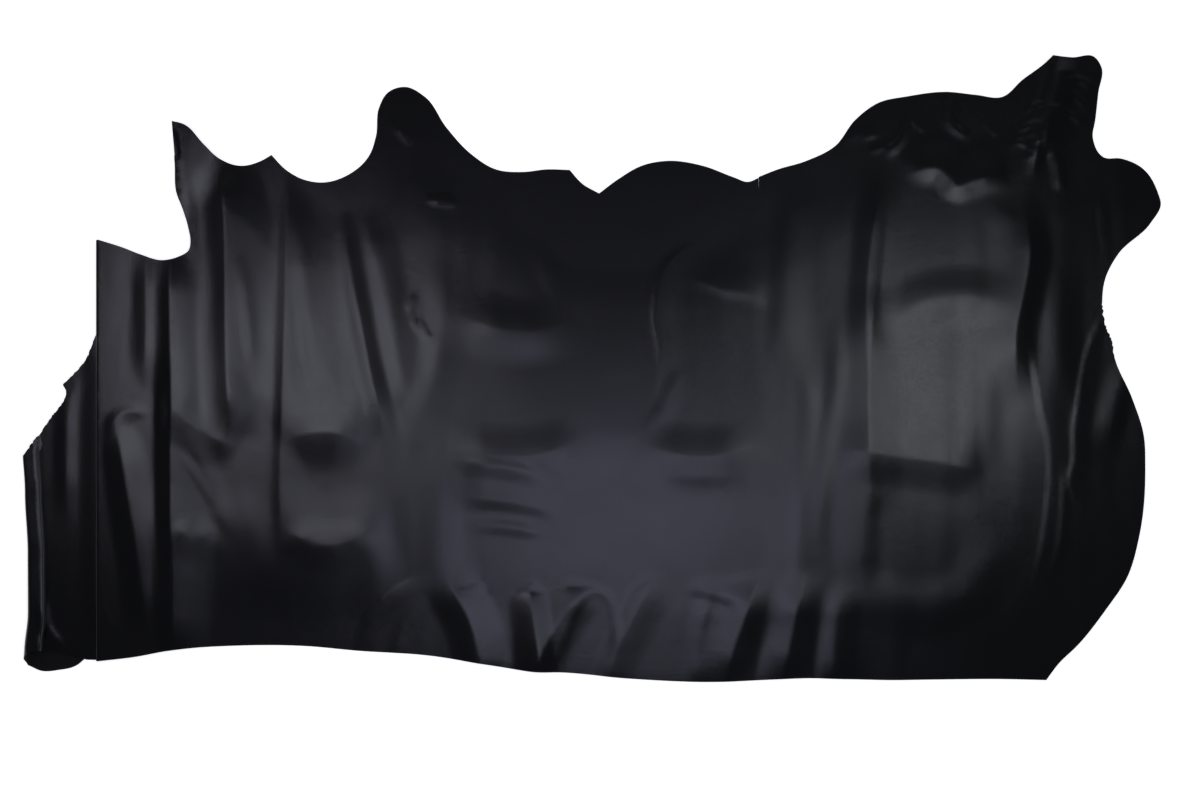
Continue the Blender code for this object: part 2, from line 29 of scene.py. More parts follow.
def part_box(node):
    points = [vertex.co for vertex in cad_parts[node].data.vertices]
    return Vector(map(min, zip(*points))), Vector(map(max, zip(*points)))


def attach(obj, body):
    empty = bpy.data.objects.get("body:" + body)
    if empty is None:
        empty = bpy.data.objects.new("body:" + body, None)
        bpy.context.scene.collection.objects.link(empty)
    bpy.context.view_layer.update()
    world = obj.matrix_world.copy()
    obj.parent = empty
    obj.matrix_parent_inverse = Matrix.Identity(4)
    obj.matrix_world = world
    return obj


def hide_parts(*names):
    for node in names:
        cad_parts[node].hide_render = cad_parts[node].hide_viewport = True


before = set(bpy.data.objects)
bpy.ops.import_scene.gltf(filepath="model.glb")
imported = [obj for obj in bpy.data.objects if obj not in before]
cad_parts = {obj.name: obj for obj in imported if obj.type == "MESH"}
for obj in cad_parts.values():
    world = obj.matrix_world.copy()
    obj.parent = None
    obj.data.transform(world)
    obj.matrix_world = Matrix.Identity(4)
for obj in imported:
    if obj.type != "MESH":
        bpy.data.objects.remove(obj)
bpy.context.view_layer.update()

MM = 0.001
TINY = 1e-9
LOG = logging.getLogger("hide")

Point = tuple[float, float]
Colour = tuple[float, float, float, float]
Socket = bpy.types.NodeSocket

WHITE: Colour = (1.0, 1.0, 1.0, 1.0)


class Ply(Enum):
    """The plies and bends of the lying side, from the neck to the tail end."""
    FRONT = "front"
    MIDDLE = "middle"
    BACK = "back"
    ROLL = "roll"
    UNDER = "under"


class Face(Enum):
    """The faces of the leather, by their material's place on the mesh."""
    GRAIN = 0
    FLESH = 1
    EDGE = 2


@dataclass(frozen=True)
class Knot:
    """A point of the cut edge, on one ply of the lying side."""
    ply: Ply
    along: float
    up: float
    corner: bool = False
    ragged: float = 0.0       # how far the edge is torn to either side, up to the next knot


def knots_on(ply: Ply, *places: tuple[float, ...]) -> tuple[Knot, ...]:
    """A run of knots on one ply, each given by its place and, where it has them, its corner and tear."""
    return tuple(Knot(ply, *place) for place in places)


@dataclass(frozen=True)
class PleatRow:
    """The pleat's section at one height up the side."""
    up: float
    overlap: float            # from the front edge to the inner bend


@dataclass(frozen=True)
class MarginRow:
    """The rolled margin's section at one height up the side."""
    up: float
    along: float              # the roll's outer edge
    radius: float
    rest: float               # how high the turned-in ply holds the back ply


@dataclass(frozen=True)
class Fold:
    """A long low ridge, or a crease where its height is below zero.

    left and right are its widths to either side, seen along its path, and crest and foot say how suddenly
    its flanks begin and end: 0 for a soft bend, 1 for a straight flank and 2 for a sharp one.
    """
    name: str
    height: float
    left: float
    right: float
    path: tuple[Point, ...]
    crest: float = 0.0
    foot: float = 0.0
    fade: float = 70.0


@dataclass(frozen=True)
class Patch:
    """A round-cornered patch that sinks towards the floor, or stands up where its depth is below zero."""
    name: str
    along: float
    up: float
    half_along: float
    half_up: float
    corner: float
    bank: float
    depth: float


@dataclass(frozen=True)
class FineZone:
    """A part of the front ply that is meshed more finely."""
    west: float
    south: float
    east: float
    north: float
    pitch: float


def smoothstep(share: np.ndarray) -> np.ndarray:
    """Rises from 0 to 1, level at both ends."""
    share = np.clip(share, 0.0, 1.0)
    return share * share * (3.0 - 2.0 * share)


def eased(up: np.ndarray, stations: list[float], values: list[float]) -> np.ndarray:
    """Reads a value between its stations up the side, level at each station.

    Args:
        up: heights up the side at which it is read.
        stations: the heights at which it is known, rising.
        values: the value at each station.

    Returns:
        The value at each height.
    """
    known = np.asarray(stations, float)
    value = np.asarray(values, float)
    index = np.clip(np.searchsorted(known, up) - 1, 0, len(known) - 2)
    low, high = known[index], known[index + 1]
    share = smoothstep((up - low) / (high - low))
    return value[index] + (value[index + 1] - value[index]) * share


def flank(share: np.ndarray, crest: float, foot: float) -> np.ndarray:
    """The height across one flank of a fold.

    Args:
        share: the distance from the crest over the flank's width.
        crest: how suddenly the flank begins.
        foot: how suddenly it ends.

    Returns:
        1 at the crest, falling to 0 at the foot.
    """
    share = np.clip(share, 0.0, 1.0)
    rest = 1.0 - share
    return 1.0 - smoothstep(share) - crest * share * rest**2 + foot * share**2 * rest


def smooth_path(points: tuple[Point, ...], steps: int = 18) -> np.ndarray:
    """A smooth line through a few points, as a Catmull-Rom curve.

    Args:
        points: the points that it passes through.
        steps: how many pieces each span is cut into.

    Returns:
        The line's points, one to a row.
    """
    known = np.asarray(points, float)
    ends = np.vstack((2 * known[0] - known[1], known, 2 * known[-1] - known[-2]))
    share = np.linspace(0, 1, steps, endpoint=False)[:, None]
    line = []
    for before, start, end, after in zip(ends, ends[1:], ends[2:], ends[3:]):
        cubic = 3 * (start - end) + after - before
        square = 2 * before - 5 * start + 4 * end - after
        line.append(start + 0.5 * share * (end - before + share * (square + share * cubic)))
    return np.vstack(line + [known[-1:]])


@dataclass
class Pleat:
    """The pleat's section: two bends of fixed length with a flat strip between them."""
    line: float = 150.0           # its front edge
    radius: float = 2.5           # of the middle surface, in its two bends
    thickness: float = 2.0
    strip_least: float = 4.0      # the strip between the bends is never narrower
    rows: tuple[PleatRow, ...] = (
        PleatRow(up=30, overlap=10),
        PleatRow(up=250, overlap=10),
        PleatRow(up=390, overlap=16),
        PleatRow(up=500, overlap=34),
        PleatRow(up=660, overlap=44),
        PleatRow(up=900, overlap=44),
    )

    @property
    def start(self) -> float:
        """Where the front ply ends and the pleat's first bend begins."""
        return self.line + self.radius + self.thickness / 2

    def at(self, up: np.ndarray) -> PleatSection:
        """The section at each height up the side."""
        overlap = eased(up, [row.up for row in self.rows], [row.overlap for row in self.rows])
        return PleatSection(self.start, self.radius, np.maximum(overlap - 2 * self.radius, self.strip_least))


@dataclass
class PleatSection:
    """The pleat at a set of heights: runs are along the side from the front ply's end, and drops go down."""
    start: float
    radius: float
    strip: np.ndarray

    @property
    def drop(self) -> float:
        """How far the whole pleat goes down."""
        return 4 * self.radius

    @property
    def back_end(self) -> np.ndarray:
        """Where the back ply begins."""
        return self.start + self.strip

    def upper_bend(self, share: np.ndarray) -> tuple[np.ndarray, np.ndarray]:
        """Run and drop over a share of the first bend, which is half a turn."""
        return -self.radius * np.sin(math.pi * share), self.radius * (1 - np.cos(math.pi * share))

    def flat_strip(self, share: np.ndarray) -> tuple[np.ndarray, np.ndarray]:
        """Run and drop over a share of the strip between the bends."""
        return self.strip * share, np.full(len(share), self.drop / 2)

    def lower_bend(self, share: np.ndarray) -> tuple[np.ndarray, np.ndarray]:
        """Run and drop over a share of the second bend."""
        run, drop = self.upper_bend(1 - share)
        return self.strip - run, self.drop - drop


@dataclass
class Margin:
    """The rolled margin: a half turn under the back ply."""
    thickness: float = 2.0
    shoulder: float = 21.0        # the back ply is level with the roll's top over this width
    slope: float = 7.0            # and comes down from it over this one
    rows: tuple[MarginRow, ...] = (
        MarginRow(up=20, along=1, radius=8.5, rest=2.6),
        MarginRow(up=60, along=7, radius=8.5, rest=2.6),
        MarginRow(up=140, along=14, radius=7.5, rest=2.6),
        MarginRow(up=260, along=13, radius=5.5, rest=2.4),
        MarginRow(up=380, along=7, radius=4.0, rest=1.2),
        MarginRow(up=470, along=2, radius=3.2, rest=0.0),
    )

    def at(self, up: np.ndarray) -> tuple[np.ndarray, np.ndarray]:
        """The roll at each height up the side.

        Args:
            up: the heights.

        Returns:
            Its centre along the side, and its radius, at each height.
        """
        stations = [row.up for row in self.rows]
        radius = eased(up, stations, [row.radius for row in self.rows])
        outer = eased(up, stations, [row.along for row in self.rows])
        return outer + radius + self.thickness / 2, radius

    def lift(self, along: np.ndarray, up: np.ndarray) -> np.ndarray:
        """How far the roll and the ply below hold the back ply up.

        Args:
            along: each point's place along the side.
            up: each point's place up the side.

        Returns:
            The lift at each point.
        """
        centre, radius = self.at(up)
        rest = eased(up, [row.up for row in self.rows], [row.rest for row in self.rows])
        beyond = np.clip((along - centre - self.shoulder) / self.slope, 0.0, 1.0)
        return rest + (2 * radius - rest) * (1 - beyond**2)


@dataclass
class CutEdge:
    """The cut edge, clockwise from the top of the pleat."""
    pitch: float = 7.0                    # the edge's points are never further apart than this,
    turn: float = math.radians(11.0)      # nor does it turn further than this at one,
    tear_pitch: float = 4.0               # and where it is torn they are this close
    seed: int = 7
    knots: tuple[Knot, ...] = (
        *knots_on(
            Ply.FRONT, (154, 884, True), (202, 869), (238, 855), (284, 843), (314, 850), (335, 864),
            (338, 880), (334, 906), (321, 950), (311, 976), (308, 1034), (303, 1120, True), (326, 1114),
            (366, 1074), (396, 1046), (438, 1032), (478, 1042), (499, 1054, True), (526, 1026),
            (560, 1006), (604, 999), (650, 1013), (694, 1052), (708, 1092), (714, 1148), (732, 1179),
            (765, 1190), (806, 1170), (848, 1110), (898, 1056), (948, 1025), (1004, 1020), (1048, 1025),
            (1095, 1024, True), (1121, 996), (1154, 977, True), (1190, 1004), (1244, 1034), (1290, 1042),
            (1362, 1032), (1424, 1009), (1452, 1000), (1472.6, 1008, True), (1473, 978, True),
            (1473.1, 1010, True), (1508, 1024), (1568, 1042), (1626, 1072), (1666, 1124), (1712, 1158),
            (1770, 1171), (1846, 1180), (1908, 1174), (1960, 1170), (2000, 1204), (2048, 1240),
            (2061, 1253, True), (2100, 1249), (2144, 1250), (2158, 1230), (2152, 1178), (2146, 1124),
            (2141, 1088), (2163, 1049), (2196, 1047), (2243, 1025), (2272, 976), (2277, 958), (2256, 917),
            (2192, 856), (2165, 803), (2160, 762, False, 1.6), (2166, 714, False, 1.6),
            (2178, 684, False, 1.2), (2186, 644), (2220, 566), (2243, 492), (2246, 430), (2234, 292),
            (2210, 210), (2168, 146), (2111, 74), (2072, 36), (2048, 4, True), (1960, 6), (1820, 5),
            (1736, 4), (1652, 6), (1576, 8), (1450, 3), (1400, 1), (1218, 7), (1090, 19), (1018, 22),
            (920, 37), (814, 53), (668, 63), (568, 72), (432, 73), (298, 64), (226, 51), (156, 43, True)),
        *knots_on(Ply.BACK, (132, 45, True), (108, 50), (74, 60), (40, 64)),
        *knots_on(Ply.ROLL, (0.0, 62, True), (0.5, 48), (1.0, 34)),
        *knots_on(
            Ply.UNDER, (42, 22), (72, 24), (112, 35), (126, 47, True), (104, 130), (62, 260), (24, 400)),
        *knots_on(Ply.ROLL, (1.0, 444, True), (0.0, 456, True)),
        *knots_on(
            Ply.BACK, (14, 467, False, 1.6), (46, 511, False, 1.6), (65, 538, False, 1.6),
            (80, 556, False, 1.2), (89, 580, False, 1.2), (82, 595, True, 1.2), (101, 614, False, 1.2),
            (132, 652, False, 1.2), (142, 680), (192, 772, True)),
        *knots_on(Ply.MIDDLE, (1.0, 782, True), (0.0, 878, True)),
    )

    def line(self, chart: Chart) -> np.ndarray:
        """The closed line in the chart: a smooth curve through the knots, broken at the corners.

        Args:
            chart: the flat chart that it is drawn in.

        Returns:
            The line's points, one to a row.
        """
        places = [Vector((chart.across(knot), knot.up)) for knot in self.knots]
        tangents = [self.tangent(places, index) for index in range(len(places))]
        chance = random.Random(self.seed)
        edge: list[Point] = []
        for index, start in enumerate(places):
            following = (index + 1) % len(places)
            end = places[following]
            chord = end - start
            leave = tangents[index] or chord.normalized()
            arrive = tangents[following] or chord.normalized()
            reach = chord.length / 3
            turning = leave.angle(chord) + arrive.angle(chord)
            tear = self.knots[index].ragged
            pitch = self.tear_pitch if tear else self.pitch
            pieces = max(math.ceil(chord.length / pitch), math.ceil(turning / self.turn), 1)
            curve = interpolate_bezier(start, start + leave * reach, end - arrive * reach, end, pieces + 1)
            square = chord.orthogonal().normalized()
            for point in curve[:-1]:
                torn = point + square * tear * chance.uniform(-1, 1)
                edge.append((torn.x, torn.y))
        return np.array(edge)

    def tangent(self, places: list[Vector], index: int) -> Vector | None:
        """The edge's direction at a knot.

        Args:
            places: the knots' places in the chart.
            index: the knot's number.

        Returns:
            The direction, or None at a corner.
        """
        if self.knots[index].corner:
            return None
        before = places[index] - places[index - 1]
        after = places[(index + 1) % len(places)] - places[index]
        return (before.normalized() * after.length + after.normalized() * before.length).normalized()


# The folds of the front ply, from the tail end to the neck, and then those by the backbone edge and the small
# wrinkles near the rest of the cut edge. A path's points are along and up.
RUMP_FOLDS: tuple[Fold, ...] = (
    Fold("hem flick", 1.6, 16, 18, ((166, 176), (176, 128), (190, 84)), crest=0.8, fade=40),
    Fold("rump thread", 0.9, 12, 40, ((180, 544), (192, 604), (202, 684), (208, 764)), crest=0.4, fade=90),
    Fold("first corrugation", 4.8, 44, 50,
         ((240, 564), (248, 614), (252, 704), (252, 804), (250, 904)), crest=0.6, fade=120),
    Fold("corrugation arch", 2.6, 30, 34,
         ((178, 484), (190, 524), (210, 540), (234, 540), (254, 516)), crest=0.6, fade=50),
    Fold("lower corrugation", 7.4, 56, 56,
         ((248, 64), (242, 184), (230, 284), (216, 374), (202, 460), (188, 516),
          (178, 554)), crest=0.8, fade=130),
    Fold("second corrugation", 9.6, 38, 88,
         ((302, 4), (302, 244), (300, 464), (300, 664), (298, 904)), crest=0.9, foot=0.3, fade=130),
    Fold("rump stripe", 9.0, 56, 92,
         ((412, 484), (416, 544), (412, 624), (410, 704), (410, 804), (408, 904), (404, 984),
          (394, 1064)), crest=1.0, foot=0.5, fade=100),
    Fold("rump thread right", 0.9, 12, 30,
         ((456, 604), (454, 684), (442, 784), (430, 864)), crest=0.3, fade=80),
    Fold("rump swoosh", 4.8, 150, 64,
         ((270, 560), (306, 548), (334, 522), (364, 502), (394, 484), (438, 464)), crest=0.8, fade=50),
    Fold("rump dimple ridge", 1.4, 26, 36,
         ((410, 284), (398, 334), (378, 404), (350, 464), (326, 504)), crest=0.6, fade=60),
    Fold("rump scar", 1.0, 10, 14, ((314, 468), (338, 436), (364, 392), (386, 344)), crest=0.6, fade=50),
    Fold("rump line", 3.2, 26, 70,
         ((518, 224), (518, 404), (524, 604), (530, 804), (532, 964), (528, 1064)), crest=0.9, fade=170),
)

HAUNCH_FOLDS: tuple[Fold, ...] = (
    Fold("thigh line", 2.4, 26, 60, ((598, 524), (582, 664), (564, 804), (554, 984)), crest=0.1, fade=170),
    Fold("flank fold", 3.4, 30, 32,
         ((746, 414), (720, 524), (696, 624), (678, 714), (662, 794), (650, 884),
          (640, 984)), crest=0.6, fade=200),
    Fold("flank hollow", 2.3, 26, 56,
         ((782, 504), (766, 564), (746, 664), (728, 764), (706, 864), (686, 954)), crest=0.4, fade=110),
    Fold("shank fold", 2.0, 46, 60,
         ((782, 444), (810, 564), (834, 664), (846, 754), (826, 854)), crest=0.3, fade=120),
    Fold("flank swell", 1.6, 50, 110,
         ((834, 124), (834, 284), (834, 404), (828, 564)), crest=0.3, fade=130),
    Fold("thigh oval", 6.4, 200, 90,
         ((514, 472), (554, 492), (606, 500), (650, 492), (698, 460)), crest=0.8, fade=80),
    Fold("rump shelf", 3.0, 110, 190,
         ((214, 312), (278, 300), (334, 290), (394, 286), (450, 296), (522, 312))),
    Fold("thigh shelf", 4.2, 120, 190,
         ((470, 308), (530, 296), (578, 276), (630, 274), (678, 288), (754, 304))),
    Fold("thigh crescent", 2.6, 60, 60,
         ((526, 312), (566, 284), (614, 272), (658, 282), (702, 312)), crest=1.0, fade=50),
    Fold("rump crescent", 2.4, 50, 60,
         ((302, 324), (334, 296), (366, 292), (398, 312)), crest=0.8, fade=40),
    Fold("backbone arc", 2.0, 16, 60,
         ((654, 20), (676, 84), (710, 144), (754, 184), (826, 220)), crest=0.5, fade=90),
    Fold("arc echo", 1.4, 24, 30, ((738, 20), (754, 84), (782, 140), (818, 172)), crest=0.3),
    Fold("spike lift", 12.0, 40, 230,
         ((254, 1120), (310, 1140), (378, 1108), (446, 1064)), crest=0.2, fade=60),
    Fold("spike rise", 2.0, 14, 30,
         ((354, 794), (334, 914), (322, 1004), (310, 1140)), crest=0.5, fade=120),
)

BELLY_FOLDS: tuple[Fold, ...] = (
    Fold("belly ridge", 4.6, 76, 76,
         ((846, 752), (906, 720), (966, 704), (1034, 704), (1118, 728)), crest=0.4, fade=120),
    Fold("belly streak left", 1.2, 36, 44, ((1090, 732), (1066, 796), (1044, 854), (1030, 934)), fade=110),
    Fold("belly arc", 2.2, 16, 66,
         ((1262, 548), (1272, 604), (1276, 664), (1266, 724), (1270, 784), (1290, 836), (1338, 876),
          (1398, 892)), crest=0.7, fade=130),
    Fold("belly fold", 1.4, 16, 44,
         ((1230, 484), (1258, 516), (1282, 556), (1302, 604), (1338, 632)), crest=0.6, fade=80),
    Fold("belly streak", 1.9, 70, 20,
         ((1306, 812), (1366, 798), (1406, 784), (1450, 776), (1510, 748)), crest=0.8, fade=80),
)

LOIN_FOLDS: tuple[Fold, ...] = (
    Fold("loin bank left", 5.0, 70, 120,
         ((842, 460), (894, 460), (946, 452), (998, 450), (1054, 460), (1126, 496)), crest=0.6, fade=100),
    Fold("loin bank right", 5.0, 70, 120,
         ((1226, 492), (1282, 462), (1354, 450), (1426, 460), (1490, 492)), crest=0.7, fade=110),
    Fold("first ripple", 1.7, 18, 32,
         ((858, 444), (934, 434), (978, 428), (1014, 418), (1066, 392)), crest=0.5, foot=0.5, fade=80),
    Fold("second ripple", 3.2, 70, 40,
         ((846, 370), (914, 366), (974, 360), (1034, 348), (1114, 324)), crest=0.6, foot=0.6, fade=100),
    Fold("third ripple", 2.6, 26, 34,
         ((874, 316), (964, 312), (1014, 304), (1078, 290)), crest=0.5, foot=0.5, fade=80),
    Fold("right ripple", 0.5, 20, 26,
         ((1266, 416), (1324, 412), (1378, 410), (1442, 412)), crest=0.1, fade=90),
    Fold("right lower ripple", 0.6, 26, 26, ((1298, 352), (1370, 348), (1454, 348)), crest=0.1, fade=80),
)

SHOULDER_FOLDS: tuple[Fold, ...] = (
    Fold("shoulder column", 1.2, 34, 60,
         ((1510, 604), (1518, 724), (1524, 824), (1534, 924), (1554, 1024)), crest=0.5, fade=130),
    Fold("shoulder strand", 1.4, 30, 40,
         ((1554, 164), (1554, 284), (1562, 404), (1574, 524), (1566, 664)), crest=0.4, fade=140),
    Fold("shoulder second strand", 1.3, 24, 30,
         ((1590, 224), (1594, 324), (1606, 464), (1626, 604), (1626, 744)), crest=0.4, fade=140),
    Fold("shoulder crease", 4.4, 44, 50,
         ((1686, 624), (1688, 744), (1694, 844), (1712, 964), (1730, 1034)), crest=0.6, fade=140),
    Fold("shoulder thread", 1.2, 14, 30,
         ((1722, 664), (1732, 764), (1740, 864), (1748, 964), (1756, 1024)), crest=0.8, fade=130),
    Fold("panel edge", 4.4, 140, 90,
         ((1698, 324), (1694, 484), (1692, 604), (1698, 724), (1710, 804)), crest=1.3, fade=120),
    Fold("panel sill", 3.6, 110, 70,
         ((1626, 472), (1706, 458), (1774, 448), (1844, 438), (1934, 422)), crest=0.7),
    Fold("panel head", 3.4, 66, 70,
         ((1722, 684), (1764, 736), (1814, 764), (1874, 772), (1922, 768), (1962, 744),
          (1986, 704)), crest=0.4, fade=130),
    Fold("panel crease", 0.5, 20, 30,
         ((1934, 384), (1930, 524), (1930, 624), (1938, 704)), crest=0.6, fade=110),
    Fold("panel right edge", 6.0, 90, 50,
         ((1994, 554), (1986, 624), (1986, 704), (2002, 784), (2014, 864),
          (1998, 984)), crest=0.9, fade=130),
    Fold("shoulder pocket", 4.4, 78, 40,
         ((1764, 1006), (1794, 1024), (1828, 1028), (1852, 1010), (1870, 992), (1900, 1002), (1938, 1012),
          (1978, 1020)), crest=0.8, fade=60),
    Fold("pocket shelf", 0.8, 30, 50, ((1924, 964), (1964, 932), (2010, 912)), crest=0.3, fade=60),
    Fold("dish wall", 2.4, 70, 40,
         ((1690, 164), (1682, 244), (1686, 344), (1710, 424)), crest=0.4, fade=100),
    Fold("dish rim", 1.9, 70, 70,
         ((1606, 172), (1654, 170), (1714, 164), (1774, 148), (1834, 152), (1890, 180), (1930, 240),
          (1946, 324)), crest=0.1, fade=110),
)

NECK_FOLDS: tuple[Fold, ...] = (
    Fold("neck fold", 0.9, 10, 50,
         ((2014, 164), (2034, 244), (2052, 364), (2054, 464), (2040, 534), (2024, 624),
          (2006, 724)), crest=0.9, fade=120),
    Fold("neck second fold", 0.8, 10, 26,
         ((2046, 194), (2070, 260), (2080, 344), (2082, 454)), crest=0.6, fade=80),
    Fold("neck crease", 1.1, 11, 40,
         ((2126, 334), (2108, 364), (2096, 404), (2104, 450), (2104, 504), (2114, 574), (2128, 654),
          (2152, 714), (2178, 764)), crest=0.9, fade=80),
    Fold("neck rim fold", 2.7, 46, 34,
         ((2170, 450), (2178, 504), (2196, 588), (2210, 674)), crest=0.3, fade=90),
    Fold("neck slope", 1.8, 80, 200,
         ((2034, 364), (2038, 564), (2030, 764), (2046, 1004)), crest=0.4, fade=200),
    Fold("neck bulge", 1.8, 60, 60,
         ((2078, 524), (2074, 624), (2070, 724), (2078, 844)), crest=0.1, fade=120),
    Fold("neck thread", 0.8, 10, 14, ((2172, 784), (2164, 894), (2154, 1004)), crest=0.8, fade=80),
    Fold("throat fold left", 6.0, 30, 22,
         ((2016, 994), (2036, 1104), (2046, 1174), (2062, 1264), (2074, 1324)), crest=0.4, fade=110),
    Fold("throat fold right", 6.0, 18, 44,
         ((2046, 1044), (2054, 1114), (2066, 1174), (2088, 1264)), crest=0.4, fade=50),
)

BACKBONE_FOLDS: tuple[Fold, ...] = (
    Fold("backbone hem", 3.0, 120, 60,
         ((814, 54), (954, 40), (1074, 20), (1234, 8), (1434, 4), (1614, 12),
          (1714, 16)), crest=0.2, fade=90),
    Fold("first scallop", 7.0, 56, 60,
         ((930, -36), (914, 54), (896, 120), (870, 172), (842, 224)), crest=0.9, foot=0.6, fade=80),
    Fold("second scallop", 7.5, 50, 34,
         ((1050, -36), (1036, 44), (1026, 108), (1020, 164), (1016, 224)), crest=0.8, foot=0.6, fade=90),
    Fold("second scallop flare", 6.0, 66, 60,
         ((986, -48), (1036, 54), (1078, 128), (1138, 216)), crest=0.6, fade=80),
    Fold("scallop loop", 0.9, 16, 20,
         ((1066, 28), (1086, 100), (1108, 156), (1144, 184), (1176, 164), (1188, 112),
          (1190, 28)), crest=0.6),
    Fold("third scallop", 3.4, 40, 60,
         ((1154, -48), (1182, 44), (1214, 114), (1246, 180), (1282, 244)), crest=0.6, fade=90),
    Fold("fourth scallop", 2.8, 30, 50, ((1342, -36), (1354, 84), (1366, 144), (1386, 194)), crest=0.5),
    Fold("notch bank", 2.2, 60, 26,
         ((1314, 200), (1362, 186), (1410, 172), (1458, 158)), crest=0.6, fade=60),
    Fold("fifth scallop", 7.0, 64, 58,
         ((1398, -36), (1420, 60), (1438, 112), (1456, 164), (1482, 228)), crest=0.9, foot=0.5, fade=100),
    Fold("sixth scallop", 7.0, 56, 60,
         ((1514, -36), (1530, 54), (1540, 104), (1552, 164), (1574, 228)), crest=0.8, foot=0.5, fade=100),
    Fold("seventh scallop", 4.0, 40, 56,
         ((1618, -36), (1622, 54), (1626, 104), (1634, 156), (1658, 204)), crest=0.3, fade=80),
    Fold("hem crease", -1.0, 10, 12,
         ((886, 172), (954, 176), (1014, 182), (1074, 190), (1154, 196)), crest=1.2),
    Fold("arch crease", -0.7, 10, 12,
         ((846, 188), (894, 198), (954, 210), (1044, 218), (1154, 214), (1254, 196)), crest=1.2, fade=80),
)

EDGE_WRINKLES: tuple[Fold, ...] = (
    Fold("nape wrinkle", 1.1, 20, 26,
         ((1630, 1072), (1658, 1092), (1686, 1104), (1722, 1108)), crest=0.2, fade=40),
    Fold("nape wrinkle two", 0.9, 10, 12, ((1678, 1082), (1694, 1092), (1718, 1098)), crest=0.5, fade=16),
    Fold("nape wrinkle three", 2.0, 14, 20,
         ((1722, 1044), (1738, 1064), (1758, 1088), (1768, 1112), (1774, 1136)), crest=0.5, fade=34),
    Fold("nape wrinkle four", 1.2, 9, 12,
         ((1764, 1132), (1782, 1124), (1796, 1110), (1804, 1096)), crest=0.6, fade=14),
    Fold("nape wrinkle five", 1.0, 12, 16, ((1690, 1060), (1718, 1070), (1746, 1072)), crest=0.3, fade=20),
    Fold("nape fork", 2.0, 14, 20,
         ((1870, 1184), (1858, 1156), (1854, 1124), (1878, 1100), (1902, 1096)), crest=0.5, fade=34),
    Fold("nape fork right", 1.6, 12, 14, ((1888, 1180), (1874, 1148), (1860, 1112)), crest=0.5, fade=20),
    Fold("nape fork left", 0.9, 10, 12, ((1830, 1180), (1842, 1156), (1852, 1128)), crest=0.4, fade=16),
    Fold("nape pin", 0.9, 10, 12, ((1902, 1156), (1922, 1136), (1946, 1122)), crest=0.5, fade=16),
    Fold("nape pin two", 0.8, 9, 11, ((1918, 1124), (1938, 1108), (1952, 1088)), crest=0.4, fade=14),
    Fold("withers wrinkle", 1.0, 9, 12,
         ((1970, 1128), (1998, 1140), (2026, 1154), (2052, 1158)), crest=0.5, fade=26),
    Fold("withers wrinkle two", 1.3, 10, 12,
         ((1986, 1100), (2010, 1112), (2042, 1120)), crest=0.6, fade=20),
    Fold("withers wrinkle three", 0.8, 13, 16,
         ((1962, 1064), (1990, 1078), (2018, 1084), (2058, 1080)), crest=0.5, fade=30),
    Fold("withers wrinkle four", 0.8, 10, 14,
         ((1982, 1092), (2006, 1074), (2034, 1062), (2066, 1064)), crest=0.5, fade=24),
    Fold("withers wrinkle five", 0.6, 9, 12,
         ((1998, 1044), (2022, 1052), (2050, 1048)), crest=0.4, fade=18),
    Fold("throat pinch", 1.9, 18, 22,
         ((2050, 1064), (2066, 1048), (2074, 1020), (2076, 976)), crest=0.4, fade=30),
    Fold("tag wrinkle", 1.2, 9, 12,
         ((2046, 1152), (2074, 1146), (2106, 1130), (2126, 1108)), crest=0.6, fade=24),
    Fold("tag wrinkle two", 1.4, 11, 15,
         ((2082, 1200), (2106, 1206), (2130, 1198), (2146, 1180)), crest=0.5, fade=24),
    Fold("tag wrinkle three", 1.1, 10, 14,
         ((2090, 1188), (2110, 1170), (2126, 1152), (2142, 1136)), crest=0.3, fade=28),
    Fold("tag wrinkle four", 0.8, 8, 10, ((2066, 1220), (2086, 1224), (2110, 1220)), crest=0.4, fade=14),
    Fold("tag crease", -1.5, 8, 9,
         ((2056, 1250), (2050, 1200), (2042, 1150), (2038, 1104)), crest=1.2, fade=30),
    Fold("tag wrinkle five", 0.7, 8, 10, ((2054, 1112), (2078, 1104), (2106, 1088)), crest=0.4, fade=16),
    Fold("lobe wrinkle", 1.8, 14, 18,
         ((734, 1124), (754, 1108), (774, 1088), (794, 1076)), crest=0.4, fade=30),
    Fold("shank nick", 1.6, 12, 16, ((802, 968), (830, 964), (858, 960), (870, 940)), crest=0.6, fade=30),
    Fold("shank nick two", 1.2, 8, 12, ((770, 732), (798, 708), (826, 674)), crest=0.6, fade=30),
    Fold("shank nick three", 1.0, 8, 12, ((772, 732), (778, 760), (790, 780)), crest=0.6, fade=20),
)


